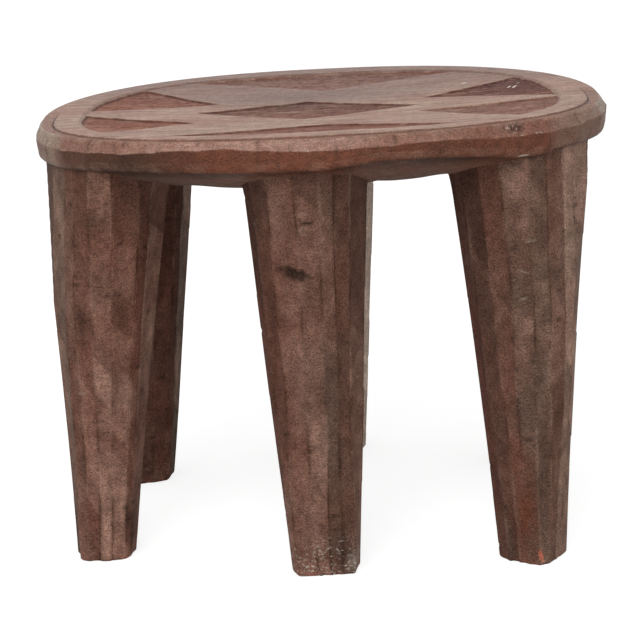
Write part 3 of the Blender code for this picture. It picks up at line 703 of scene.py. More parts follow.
class SeatTop:
    """Carved top of the seat: where its lines run, and how high and how worn each place is."""

    def __init__(self):
        shapes = [(recess_outline(cut), cut.stain, cut.tone, cut.line) for cut in BORDER_RECESSES]
        shapes.append((lozenge_outline(), LOZENGE_STAIN, LOZENGE_TONE, LOZENGE_LINE))
        self.recesses = []
        for number, (outline, *looks) in enumerate(shapes):
            outline = hand_cut(spread_evenly(outline, LOOP_SPACING), SEED + 10 * number)
            self.recesses.append((outline, *looks))
        back_left, front_left, front = BORDER_RECESSES[1:4]
        corners = lozenge_corners()
        self.overcuts = (
            run_on(FIELD.points(radians(back_left.first)), recess_tip(back_left)),
            run_on(FIELD.points(radians(front_left.first)), recess_tip(front_left)),
            run_on(recess_tip(front), FIELD.points(radians(front.first))),
            run_on(corners[1], corners[2]),
        )

    def lines(self):
        """Lines that the mesh has to follow: closed ones, then open ones."""
        closed = []
        for outline, *looks in self.recesses:
            closed += [shrunk(outline, distance) for distance in (-CUT_EDGE, 0.0, RECESS_WALL_RUN)]
        around = np.linspace(0.0, 2.0 * pi, FIELD_LINE_POINTS, endpoint=False)
        closed += [FIELD.points(around), FIELD.inset(-FIELD_STEP_RUN).points(around)]
        scored = np.linspace(SCORE_FROM - SCORE_FADE, SCORE_TO + SCORE_FADE, SCORE_POINTS)
        sides = (-1.0, 0.0, 1.0)
        opened = []
        for side in sides:
            inset = score_inset(scored) + side * SCORE_HALF_WIDTH
            opened.append(TOP_EDGE.points_inside(np.radians(scored), inset))
        for start, end in self.overcuts:
            run = (end - start) / OVERCUT_LENGTH
            across = OVERCUT_HALF_WIDTH * np.array((-run[1], run[0]))
            for side in sides:
                ends = np.array((start + run * LOOP_SPACING + side * across, end + side * across))
                opened.append(spread_evenly(ends, LOOP_SPACING, closed=False))
        return closed, opened

    def shape(self, x, y):
        """Heights, and the values that the wood's colour follows, at some places."""
        inside = TOP_EDGE.distance_inside(x, y)
        in_field = FIELD.distance_inside(x, y)
        turn = np.arctan2((y + WIDEST_FORWARD) / OUTLINE.to_front, x / OUTLINE.half_width)
        turn = np.degrees(turn) % 360.0
        turn = np.where(turn < 90.0, turn + 360.0, turn)
        front = between(turn, SCORE_FROM, SCORE_TO, SCORE_FADE)
        soft = between(turn, SOFT_STEP_FROM, SOFT_STEP_TO, SOFT_STEP_FADE)
        score_in = score_inset(turn)
        score = held(1.0 - np.abs(inside - score_in) / SCORE_HALF_WIDTH) * front
        outside = smooth_step(score_in - inside, -SCORE_HALF_WIDTH, 0.0)
        strip = held(1.0 - inside / score_in)
        lumps = TOP_SWELL * swell(x, y, TOP_SWELL_LENGTH, SEED)
        height = np.full_like(x, STOOL_HEIGHT)
        height -= SCORE_DEPTH * score
        height -= front * (OUTER_STRIP_STEP * outside + OUTER_STRIP_FALL * strip)
        height -= FIELD_STEP * smooth_step(in_field, -FIELD_STEP_RUN - SOFT_STEP_RUN * soft, 0.0)
        height -= DISH_DEPTH * (1.0 - np.minimum(FIELD.share(x, y), 1.0) ** 2)
        height += lumps * smooth_step(inside, 0.0, SCORE_INSET_AT_ENDS)
        recess, cut_in, floor, tone = (np.zeros_like(x) for _ in range(4))
        from_edge = np.abs(in_field + FIELD_STEP_RUN)
        # Pale worn arrises along the field's edge and the carving: partly wear, partly painted highlight
        edge = FIELD_EDGE_WEAR_AND_HIGHLIGHT * (1.0 - soft) * np.exp(-from_edge / CARVED_EDGE_WEAR)
        # Painted shade: dark lines in the scored groove, at the foot of the field's step, at the foot of
        # each recess wall and in the overcuts
        step_foot = STEP_FOOT_SHADE * (1.0 - soft) * np.exp(-np.abs(in_field) / WALL_FOOT_REACH)
        corner = np.maximum(np.minimum(SCORE_SHADE * score, 1.0), step_foot)
        for outline, stain, own_tone, line in self.recesses:
            distance = distance_in(outline, x, y)
            depth = held(distance / RECESS_WALL_RUN)
            worn = held(1.0 - np.abs(distance) / CARVED_EDGE_WEAR)
            height -= RECESS_DEPTH * depth + CARVED_EDGE_DROP * worn ** 2 * (1.0 - depth)
            recess = np.maximum(recess, stain * held(1.0 + distance / CUT_EDGE))
            cut_in = np.maximum(cut_in, depth)
            floor = np.maximum(floor, held(distance / RECESS_WALL_RUN - FLOOR_FROM_WALL))
            low = outline[:, 1].min()
            back = (y - low) / (outline[:, 1].max() - low)
            # The floor's own tone, with painted shade that deepens towards the back of the recess
            tone = np.where(distance > -CUT_EDGE, own_tone + FLOOR_SHADE_TO_BACK * (back - 0.5), tone)
            edge = np.maximum(edge, worn * (1.0 - depth))
            from_wall = np.abs(distance - 0.5 * RECESS_WALL_RUN) - 0.5 * RECESS_WALL_RUN
            wall = line * np.exp(-np.maximum(from_wall, 0.0) / WALL_FOOT_REACH)
            corner = np.maximum(corner, wall * (distance > -0.5 * CUT_EDGE))
        for start, end in self.overcuts:
            share, away = nearest_on(start, end, x, y)
            cut = held(1.0 - away / OVERCUT_HALF_WIDTH) * (1.0 - share)
            height -= OVERCUT_DEPTH * cut * (1.0 - cut_in)
            corner = np.maximum(corner, cut)
        values = {"recess": recess, "cut_in": cut_in, "floor": floor, "tone": tone, "edge": edge}
        values["corner"] = corner
        # Where the rubbed top with its painted sheen is laid: all but the duller strip outside the scored
        # line
        values["rubbed"] = 1.0 - STRIP_DULLNESS * outside * front
        return height, values


def grid_places(low, high, spacing):
    """Places in rows that are staggered like bricks, between two corners."""
    rows = np.arange(low[1], high[1], spacing * GRID_ROW_SHARE)
    columns = np.arange(low[0], high[0], spacing)
    x, y = np.meshgrid(columns, rows)
    x = x + np.where(np.arange(len(rows)) % 2 == 0, 0.0, 0.5 * spacing)[:, None]
    return np.stack((x.ravel(), y.ravel()), axis=-1)


def uneven_flats(turns, count, seed):
    """Number of the hewn flat that each turn falls on, and how far along that flat it is, from 0 to 1."""
    random = np.random.default_rng(seed)
    edges = 2.0 * pi * (np.arange(count) + random.uniform(0.0, RIM_FLAT_UNEVENNESS, count)) / count
    edges = np.append(edges, edges[0] + 2.0 * pi)
    turns = (turns - edges[0]) % (2.0 * pi) + edges[0]
    number = np.clip(np.searchsorted(edges, turns, side="right") - 1, 0, count - 1)
    along = (turns - edges[number]) / (edges[number + 1] - edges[number])
    return number, along


def at_turns(pairs, degrees):
    """Value at some turns, on straight lines between the given pairs of turn and value."""
    turns, values = zip(*pairs)
    return np.interp(degrees, turns, values, period=360.0)


class Rim:
    """Rim and belly of the seat as rows of points, from the edge of the top down."""

    def __init__(self, top):
        self.turns = np.linspace(0.0, 2.0 * pi, RIM_COLUMNS, endpoint=False)
        degrees = np.degrees(self.turns)
        random = np.random.default_rng(SEED + 1)
        number, along = uneven_flats(self.turns, RIM_FLATS, SEED + 2)
        arch = 4.0 * along * (1.0 - along)
        step = random.uniform(-0.5, 0.5, RIM_FLATS)[number]
        self.hollow = RIM_FLAT_HOLLOW * (arch - ARCH_MEAN) + RIM_FLAT_STEP * step
        wave = random.uniform(-0.5, 0.5, RIM_FLATS)[number] + RIM_LINE_ARCH * arch - RIM_LINE_DROP
        self.line = WIDEST_HEIGHT + at_turns(RIM_LINE_RISES, degrees) + RIM_LINE_WAVE * wave
        self.bottom_rise = at_turns(RIM_BOTTOM_RISES, degrees)
        self.flat_tone = random.uniform(-1.0, 1.0, RIM_FLATS)[number]
        self.flat_start = (number != np.roll(number, 1)).astype(float)
        # Painted sheen on the ends of the rim, where they are seen at a grazing angle
        self.end = np.zeros(RIM_COLUMNS)
        for first, last, strength in END_SHEEN_SPANS:
            turn = (degrees - first + 180.0) % 360.0 - 180.0 + first
            self.end = np.maximum(self.end, strength * between(turn, first, last, END_SHEEN_FADE))
        self.band_wear_and_light = at_turns(BAND_WEAR_AND_LIGHT, degrees)
        self.darkness = at_turns(LOWER_BAND_DARKNESS, degrees)
        edge = OUTLINE.points_inside(self.turns, UPPER_BAND_LEAN + ARRIS_WEAR)
        self.edge_height = top.shape(edge[:, 0], edge[:, 1])[0]
        self.rows = []
        self.add_bands()
        self.add_belly()

    def add_row(self, places, heights, band=0.0, edge=0.0, nicked=0.0, underside=0.0, crease=0.0):
        """One row, with the values that the wood's colour follows."""
        all_round = np.ones(RIM_COLUMNS)
        values = {
            "band": band * self.band_wear_and_light,
            "grimy": (1.0 - band) * self.darkness * (1.0 - self.end),
            "edge": edge * (1.0 - self.end),
            "nicked": nicked * all_round,
            "end": self.end * (1.0 - underside) * (END_LOWER_SHARE + (1.0 - END_LOWER_SHARE) * band),
            "crease": crease * all_round,
            "flat_tone": self.flat_tone,
            "flat_start": self.flat_start * (1.0 - underside),
            "underside": underside * all_round,
        }
        self.rows.append((places, heights, values))

    def add_span(self, first, last, count, **values):
        """Rows from one pair of inset and height to another, without the last."""
        for step in range(count):
            share = step / count
            inset = first[0] + (last[0] - first[0]) * share
            height = first[1] + (last[1] - first[1]) * share
            self.add_row(OUTLINE.points_inside(self.turns, inset), height, **values)

    def add_bands(self):
        """Worn top arris, upper band, the line between the bands, lower band and worn lower edge."""
        top_hollow = TOP_HOLLOW * self.hollow
        lower_hollow = LOWER_HOLLOW * self.hollow
        for step in range(ARRIS_ROWS):
            bend = 0.5 * pi * step / ARRIS_ROWS
            inset = UPPER_BAND_LEAN + top_hollow * np.sin(bend) + ARRIS_WEAR * (1.0 - np.sin(bend))
            height = self.edge_height - ARRIS_WEAR * (1.0 - np.cos(bend))
            self.add_row(OUTLINE.points_inside(self.turns, inset), height, band=1.0, edge=0.5)
        above, on_line, below = (
            (inset * RIM_LINE_WEAR + self.hollow, self.line + rise * RIM_LINE_WEAR)
            for inset, rise in RIM_LINE_PROFILE
        )
        lower_height = WIDEST_HEIGHT - LOWER_BAND_HEIGHT + self.bottom_rise
        top = (UPPER_BAND_LEAN + top_hollow, self.edge_height - ARRIS_WEAR)
        self.add_span(top, above, BAND_ROWS, band=1.0)
        self.add_span(above, on_line, 1, band=1.0, edge=0.2, nicked=0.6)
        self.add_span(on_line, below, 1, band=0.9, edge=0.4, nicked=1.0)
        self.add_span(below, (LOWER_BAND_LEAN + lower_hollow, lower_height), BAND_ROWS)
        for step in range(WORN_EDGE_ROWS):
            bend = 0.5 * pi * step / WORN_EDGE_ROWS
            inset = LOWER_BAND_LEAN + lower_hollow * np.cos(bend) + WORN_EDGE_LEAN * (1.0 - np.cos(bend))
            height = lower_height - WORN_EDGE_HEIGHT * np.sin(bend)
            crease = smooth_step(step, WORN_EDGE_ROWS - RIM_FOOT_SHADE_ROWS_ABOVE, WORN_EDGE_ROWS)
            self.add_row(OUTLINE.points_inside(self.turns, inset), height, edge=0.25, crease=crease)

    def add_belly(self):
        """Rows of the domed underside, from the rim to near the middle."""
        for step in range(BELLY_ROWS):
            share = 1.0 - step / BELLY_ROWS
            places = LOWER_EDGE.points(self.turns, share)
            lumps = swell(places[:, 0], places[:, 1], BELLY_SWELL_LENGTH, SEED + 3)
            height = belly_height(share) + self.bottom_rise * share ** BOTTOM_RISE_POWER
            height = height + BELLY_SWELL * (1.0 - share) ** 0.5 * lumps
            crease = 1.0 - smooth_step(step, 0, RIM_FOOT_SHADE_ROWS_BELOW)
            self.add_row(places, height, underside=min(1.0, UNDERSIDE_ONSET * (1.0 - share)), crease=crease)


def new_mesh(name, points, faces, values):
    """Mesh from points and faces, with one number at each point for each named value."""
    mesh = bpy.data.meshes.new(name)
    mesh.from_pydata(points, [], faces)
    for value_name, numbers in values.items():
        attribute = mesh.attributes.new(value_name, "FLOAT", "POINT")
        attribute.data.foreach_set("value", np.asarray(numbers, dtype=np.float32))
    mesh.validate()
    mesh.update()
    return mesh


def top_faces(top, outer):
    """Net of the carved top inside its outer line: places, faces, and the numbers of that line's points."""
    closed, opened = top.lines()
    closed = [outer] + closed
    places = closed + opened
    edges = []
    count = 0
    for line_number, line in enumerate(places):
        numbers = np.arange(count, count + len(line))
        pairs = np.stack((numbers, np.roll(numbers, -1)), axis=-1)
        edges.append(pairs if line_number < len(closed) else pairs[:-1])
        count += len(line)
    lines = KDTree(count)
    for number, place in enumerate(np.concatenate(places)):
        lines.insert((place[0], place[1], 0.0), number)
    lines.balance()

    low = OUTLINE.points(np.array((pi, 1.5 * pi))).min(axis=0)
    high = OUTLINE.points(np.array((0.0, 0.5 * pi))).max(axis=0)
    coarse = grid_places(low, high, TOP_SPACING)
    room = TOP_EDGE.distance_inside(coarse[:, 0], coarse[:, 1]) > ARRIS_WEAR
    coarse = coarse[room & (top.shape(coarse[:, 0], coarse[:, 1])[1]["cut_in"] == 0.0)]
    fine = grid_places(low, high, FLOOR_SPACING)
    fine = fine[top.shape(fine[:, 0], fine[:, 1])[1]["cut_in"] == 1.0]
    for grid, spacing in ((coarse, TOP_SPACING), (fine, FLOOR_SPACING)):
        clear = [lines.find((place[0], place[1], 0.0))[2] > CLEAR_OF_LINES * spacing for place in grid]
        places.append(grid[np.array(clear)])

    flat = [tuple(place) for place in np.concatenate(places)]
    pairs = [tuple(pair) for pair in np.concatenate(edges).tolist()]
    points, _, faces, origins, _, _ = delaunay_2d_cdt(flat, pairs, [], KEEP_INSIDE, SAME_PLACE, True)
    outer_numbers = np.zeros(len(outer), dtype=int)
    for number, sources in enumerate(origins):
        for source in sources:
            if source < len(outer):
                outer_numbers[source] = number
    return np.array([tuple(point) for point in points]), [tuple(face) for face in faces], outer_numbers


def seat_mesh():
    """Seat: the carved top, and the rim and belly as rows of points below its edge."""
    top = SeatTop()
    rim = Rim(top)
    places, faces, above = top_faces(top, rim.rows[0][0])
    height, values = top.shape(places[:, 0], places[:, 1])
    names = sorted(set(values) | set(rim.rows[0][2]))
    solid = [np.column_stack((places, height))]
    sheets = {name: [values.get(name, np.zeros(len(places)))] for name in names}
    start = len(places)
    for row, heights, own in rim.rows[1:]:
        solid.append(np.column_stack((row, heights)))
        below = np.arange(start, start + RIM_COLUMNS)
        faces += np.stack((above, below, np.roll(below, -1), np.roll(above, -1)), axis=-1).tolist()
        for name in names:
            sheets[name].append(own.get(name, np.zeros(RIM_COLUMNS)))
        above = below
        start += RIM_COLUMNS
    solid.append(np.array(((0.0, -WIDEST_FORWARD, float(rim.rows[-1][1].mean())),)))
    middle = np.full(RIM_COLUMNS, start)
    faces += np.stack((above, middle, np.roll(above, -1)), axis=-1).tolist()
    values = {name: np.concatenate(sheets[name] + [sheets[name][-1][:1]]) for name in names}
    return new_mesh("seat_carved", np.concatenate(solid).tolist(), faces, values)


def within_rim(x, y, share):
    """Whether places are where a leg may be: just inside the rim above, further out towards the foot."""
    inset = LEG_SET_IN * share - (FOOT_OVERHANG + RIM_UNDERCUT) * (1.0 - share)
    return LOWER_EDGE.distance_inside(x, y) > inset


def pulled_inside(x, y, centre_x, centre_y, share):
    """Places drawn towards a leg's centre until they are within the rim, by halving the doubt."""
    near = np.zeros_like(x)
    far = np.ones_like(x)
    for _ in range(HALVINGS):
        middle = 0.5 * (near + far)
        fits = within_rim(centre_x + middle * (x - centre_x), centre_y + middle * (y - centre_y), share)
        near = np.where(fits, middle, near)
        far = np.where(fits, far, middle)
    part = np.where(within_rim(x, y, share), 1.0, near)
    return centre_x + part * (x - centre_x), centre_y + part * (y - centre_y)


class HewnLeg:
    """A leg as rows of points over its hewn flats."""

    def __init__(self, leg, number):
        self.leg = leg
        self.flats = len(leg.arrises)
        self.seed = SEED + 100 * (number + 1)
        self.top = OUTLINE.points_inside(radians(leg.turn), leg.set_backs * LEG_SET_BACK)
        self.foot = self.top + LEG_SPLAY * np.array((leg.splays_right, leg.splays_back))
        random = np.random.default_rng(self.seed)
        self.arrises = np.radians(270.0 + np.array(leg.arrises))
        self.arrises = np.append(self.arrises, self.arrises[0] + 2.0 * pi)
        self.radii = 1.0 + ARRIS_UNEVENNESS * random.uniform(-1.0, 1.0, self.flats)
        self.hollows = FLAT_HOLLOW * random.uniform(*FLAT_HOLLOW_SHARES, self.flats)
        columns = LEG_COLUMNS * np.diff(self.arrises) / (2.0 * pi)
        counts = np.maximum(np.round(columns).astype(int), FEWEST_FLAT_COLUMNS)
        self.flat = np.repeat(np.arange(self.flats), counts)
        even = np.concatenate([np.arange(count) / count for count in counts])
        # Half even, half crowded towards the arrises
        self.along = 0.5 * even + 0.25 * (1.0 - np.cos(pi * even))

    def arris(self, numbers, share):
        """Turn of an arris, which wanders on its way up the leg."""
        wander = np.zeros_like(share)
        for flat in range(self.flats):
            own = (numbers % self.flats) == flat
            wander[:, own] = waves(share[:, own], ARRIS_WAVE_LENGTH, ARRIS_WAVES, self.seed + flat)
        turn = self.arrises[numbers] + radians(self.leg.twist) * (1.0 - share)
        return turn + radians(ARRIS_WANDER) * wander

    def centre(self, height):
        """Middle of the leg at some heights."""
        share = held(height / RIM_BOTTOM)
        return [foot + (top - foot) * share for foot, top in zip(self.foot, self.top)]

    def squared(self, turn, share):
        """How much further out the arrises are where a foot is squared."""
        foot = self.leg.foot
        across = np.abs(np.sin(turn - radians(foot.turn)))
        along = np.abs(np.cos(turn - radians(foot.turn)))
        out = (along ** foot.power + across ** foot.power) ** (-1.0 / foot.power)
        return 1.0 + (foot.scale * out - 1.0) * (1.0 - smooth_step(share, 0.0, FOOT_SQUARED_TO))

    def section(self, height, inset, flare):
        """Places round the leg at some heights, drawn in by an inset and let out by a flare."""
        share = held(height / RIM_BOTTOM)
        top_width = self.leg.tops * LEG_TOP_WIDTH
        foot_width = self.leg.feet * LEG_FOOT_WIDTH
        radius = 0.5 * (foot_width + (top_width - foot_width) * share * (1.0 + self.leg.bow * (1.0 - share)))
        radius = radius - inset + flare
        ends = []
        for numbers in (self.flat, self.flat + 1):
            turn = self.arris(numbers, share)
            out = radius * self.radii[numbers % self.flats] * self.squared(turn, share)
            ends.append((turn, out * np.cos(turn), out * np.sin(turn)))
        (first, first_x, first_y), (last, last_x, last_y) = ends
        x = first_x * (1.0 - self.along) + last_x * self.along
        y = first_y * (1.0 - self.along) + last_y * self.along
        to_arris = radius * (last - first) * np.minimum(self.along, 1.0 - self.along)
        cut = ARRIS_ROUNDING * held(1.0 - to_arris / ARRIS_ROUNDING_REACH) ** 2
        cut = cut + self.hollows[self.flat] * 4.0 * self.along * (1.0 - self.along)
        scale = 1.0 - cut / np.hypot(x, y)
        centre_x, centre_y = self.centre(height)
        x, y = pulled_inside(centre_x + x * scale, centre_y + y * scale, centre_x, centre_y, share)
        return x, y, to_arris

    def gouged(self, x, y, height):
        """Places drawn in where the leg is gouged, and how deep each kind of gouge is there, from 0 to 1."""
        depths = {"torn": np.zeros_like(x), "bare": np.zeros_like(x)}
        for gouge in GOUGES:
            if gouge.leg != self.leg.name:
                continue
            run = x - gouge.place[0]
            rise = height - gouge.place[2]
            slant = radians(gouge.slant)
            along = (np.cos(slant) * run - np.sin(slant) * rise) / gouge.half_width
            across = (np.sin(slant) * run + np.cos(slant) * rise) / gouge.half_height
            behind = (y - gouge.place[1]) / gouge.half_width
            away = np.sqrt(along ** 2 + behind ** 2 + across ** 2)
            away = away + GOUGE_RAGGEDNESS * swell(x, height, GOUGE_RAG_SHARE * gouge.half_width, self.seed)
            dent = held(GOUGE_STEEPNESS * (GOUGE_REACH - away))
            centre_x, centre_y = self.centre(height)
            pull = gouge.depth * dent / np.hypot(x - centre_x, y - centre_y)
            x = x - pull * (x - centre_x)
            y = y - pull * (y - centre_y)
            depths[gouge.kept_as] = np.maximum(depths[gouge.kept_as], dent)
        return x, y, depths

    def mesh(self):
        """Closed skin of the leg, with values for the colour and the lanes of the tool."""
        columns = len(self.flat)
        x, y, _ = self.section(np.full((1, columns), RIM_BOTTOM), 0.0, 0.0)
        top = belly_height(np.minimum(LOWER_EDGE.share(x, y), 1.0)) + ROOT_IN_SEAT
        foot_shares = np.arange(FOOT_ROWS)[:, None] / FOOT_ROWS
        leg_shares = np.linspace(0.0, 1.0, LEG_ROWS)[:, None]
        height = np.concatenate((
            FOOT_CHAMFER_HEIGHT * foot_shares + np.zeros(columns),
            FOOT_CHAMFER_HEIGHT + (top - FOOT_CHAMFER_HEIGHT) * leg_shares,
        ))
        down = held(1.0 - height / FOOT_CHAMFER_HEIGHT)
        flare = ROOT_FLARE * np.exp((height - top) / ROOT_FLARE_REACH)
        x, y, to_arris = self.section(height, FOOT_CHAMFER * down ** 2, flare)
        x, y, gouges = self.gouged(x, y, height)
        ends = np.array(((*self.foot, 0.0), (*self.top, float(top.max()))))
        points = np.concatenate((np.stack((x, y, height), axis=-1).reshape(-1, 3), ends))

        numbers = np.arange(height.size).reshape(height.shape)
        following = np.roll(numbers, -1, axis=1)
        faces = np.stack((numbers[:-1], following[:-1], following[1:], numbers[1:]), axis=-1)
        faces = faces.reshape(-1, 4).tolist()
        sole = np.full(columns, height.size)
        faces += np.stack((following[0], numbers[0], sole), axis=-1).tolist()
        faces += np.stack((numbers[-1], following[-1], sole + 1), axis=-1).tolist()

        # Tone of each flat: partly the wood's own, partly painted light and shade
        foot_tone_and_light = np.array(self.leg.foot_tones)[self.flat]
        top_tone_and_light = np.array(self.leg.tones)[self.flat]
        values = {
            "arris": np.exp(-to_arris / ARRIS_LINE_REACH),
            "flat_tone": foot_tone_and_light + (top_tone_and_light - foot_tone_and_light) * held(height / RIM_BOTTOM),
            "hue": np.array(self.leg.hues)[self.flat],
            "lane": LANE_SPACING * self.flat + self.seed,
            "along": self.along,
            "foot_edge": np.exp(-height / FOOT_CHAMFER_HEIGHT),
            **gouges,
        }
        for name, own in values.items():
            values[name] = np.append(np.broadcast_to(own, height.shape).ravel(), (0.0, 0.0))
        return new_mesh(self.leg.name + "_hewn", points.tolist(), faces, values)


class Nodes:
    """A node tree, with short ways to add what it needs."""

    def __init__(self, tree):
        self.tree = tree

    def feed(self, socket, value):
        """Feed a socket with another socket or with a plain value."""
        if isinstance(value, bpy.types.NodeSocket):
            self.tree.links.new(value, socket)
        else:
            socket.default_value = value

    def add(self, kind, inputs=None, **settings):
        """Node with its settings, and its inputs fed by name or number."""
        node = self.tree.nodes.new(kind)
        for name, value in settings.items():
            setattr(node, name, value)
        for key, value in (inputs or {}).items():
            self.feed(node.inputs[key], value)
        return node

    def calc(self, operation, first, *others):
        """Result of one sum after another, from the left."""
        for other in others:
            first = self.add("ShaderNodeMath", {0: first, 1: other}, operation=operation).outputs[0]
        return first

    def times(self, *values):
        """Product of some values."""
        return self.calc("MULTIPLY", *values)

    def vector(self, operation, *values):
        """Results of one sum with vectors."""
        return self.add("ShaderNodeVectorMath", dict(enumerate(values)), operation=operation).outputs

    def axis(self, place, name):
        """How far a place is along an axis."""
        return self.add("ShaderNodeSeparateXYZ", {0: place}).outputs[name]

    def spread(self, value, low, high, to_low=0.0, to_high=1.0):
        """A value's span between low and high stretched to another span, and held there beyond it."""
        inputs = dict(enumerate((value, low, high, to_low, to_high)))
        return self.add("ShaderNodeMapRange", inputs, clamp=True).outputs[0]


class Marks(Nodes):
    """Geometry tree that moves a surface along its normals and keeps a value at each point."""

    def __init__(self, name, sockets):
        super().__init__(bpy.data.node_groups.new(name, "GeometryNodeTree"))
        interface = self.tree.interface
        interface.new_socket("Geometry", in_out="INPUT", socket_type="NodeSocketGeometry")
        for socket, kind in sockets.items():
            interface.new_socket(socket, in_out="INPUT", socket_type="NodeSocket" + kind)
        interface.new_socket("Geometry", in_out="OUTPUT", socket_type="NodeSocketGeometry")
        self.given = self.add("NodeGroupInput").outputs
        self.place = self.add("GeometryNodeInputPosition").outputs[0]

    def kept(self, name):
        """A value that is kept at each point."""
        node = self.add("GeometryNodeInputNamedAttribute", {"Name": name}, data_type="FLOAT")
        return node.outputs["Attribute"]

    def finished(self, shift, kept_as, value):
        """The tree with its last nodes: the value kept, the surface moved, made real and given its wood."""
        normal = self.add("GeometryNodeInputNormal").outputs[0]
        offset = self.add("ShaderNodeVectorMath", {0: normal, "Scale": shift}, operation="SCALE").outputs[0]
        inputs = {"Geometry": self.given["Geometry"], "Name": kept_as, "Value": value}
        kept = self.add("GeometryNodeStoreNamedAttribute", inputs, data_type="FLOAT", domain="POINT")
        moved = self.add("GeometryNodeSetPosition", {"Geometry": kept.outputs[0], "Offset": offset})
        real = self.add("GeometryNodeRealizeInstances", {"Geometry": moved.outputs[0]})
        inputs = {"Geometry": real.outputs[0], "Material": self.given["Wood"]}
        painted = self.add("GeometryNodeSetMaterial", inputs)
        self.add("NodeGroupOutput", {"Geometry": painted.outputs[0]})
        return self.tree


def dents_tree():
    """Dents of one kind, strewn over the part of a surface where a kept value is high."""
    marks = Marks("strewn_dents", {
        "Where": "String", "Kept As": "String", "Per Square Metre": "Float", "Reach": "Float",
        "Depth": "Float", "Squeeze": "Vector", "Seed": "Int", "Wood": "Material",
    })
    given = marks.given
    where = marks.kept(given["Where"])
    density = marks.times(given["Per Square Metre"], marks.spread(where, *DENTS_STREWN))
    inputs = {"Mesh": given["Geometry"], "Seed": given["Seed"], "Density": density}
    strewn = marks.add("GeometryNodeDistributePointsOnFaces", inputs, distribute_method="RANDOM")
    strewn = strewn.outputs["Points"]
    squeezed = marks.vector("MULTIPLY", marks.place, given["Squeeze"])["Vector"]
    middles = marks.add("GeometryNodeSetPosition", {"Geometry": strewn, "Position": squeezed}).outputs[0]
    inputs = {0: middles, "Sample Position": squeezed}
    away = marks.add("GeometryNodeProximity", inputs, target_element="POINTS").outputs["Distance"]
    share = marks.calc("DIVIDE", away, given["Reach"])
    size = marks.add("GeometryNodeAttributeDomainSize", {"Geometry": strewn}, component="POINTCLOUD")
    any_strewn = marks.calc("MINIMUM", size.outputs["Point Count"], 1.0)
    dent = marks.times(marks.spread(share, *DENT_SLOPE), marks.spread(where, *DENTS_KEPT), any_strewn)
    return marks.finished(marks.times(dent, marks.times(given["Depth"], -1.0)), given["Kept As"], dent)


def strokes_tree():
    """Strokes of the hewing tool: each flat of a leg is chopped into lengths that lie a bit high or low."""
    marks = Marks("hewing_strokes", {
        "Stroke Length": "Float", "Slant": "Float", "Depth": "Float", "Wood": "Material",
    })
    given = marks.given
    way = marks.calc("DIVIDE", marks.axis(marks.place, "Z"), given["Stroke Length"])
    way = marks.calc("ADD", way, marks.times(marks.kept("along"), given["Slant"]))
    lane = marks.add("ShaderNodeCombineXYZ", {"X": marks.kept("lane"), "Y": way}).outputs[0]
    cells = marks.add("ShaderNodeTexVoronoi", {"Vector": lane, "Scale": 1.0}, voronoi_dimensions="2D")
    red = marks.add("FunctionNodeSeparateColor", {0: cells.outputs["Color"]}).outputs[0]
    stroke = marks.spread(red, 0.0, 1.0, -1.0, 1.0)
    off_arris = marks.spread(marks.kept("arris"), *STROKES_OFF_ARRIS)
    return marks.finished(marks.times(stroke, off_arris, given["Depth"]), "stroke", stroke)


def add_marks(piece, tree, values):
    """Geometry tree on a piece, with its inputs set by their identifiers."""
    modifier = piece.modifiers.new(tree.name, "NODES")
    modifier.node_group = tree
    for item in tree.interface.items_tree:
        if item.in_out == "INPUT" and item.name in values:
            modifier[item.identifier] = values[item.name]


def add_dents(piece, dents, kinds, wood, number=0):
    """Dents of some kinds on a piece, strewn in another way for each number."""
    for kind in kinds:
        add_marks(piece, dents, {**kind, "Seed": kind["Seed"] + number, "Wood": wood})


def made_plain(piece, sharp_angle):
    """Turn a piece with modifiers into a plain mesh, smooth between its sharp edges."""
    bpy.context.view_layer.update()
    shown = piece.evaluated_get(bpy.context.evaluated_depsgraph_get())
    mesh = bpy.data.meshes.new_from_object(shown)
    piece.modifiers.clear()
    piece.data = mesh
    mesh.shade_smooth()
    mesh.set_sharp_from_angle(angle=radians(sharp_angle))


def as_light(colour):
    """Colour as light, from a colour as it looks. A socket stays as it is."""
    if isinstance(colour, bpy.types.NodeSocket):
        return colour
    values = [value / 12.92 if value <= 0.04045 else ((value + 0.055) / 1.055) ** 2.4 for value in colour]
    return (*values, 1.0)


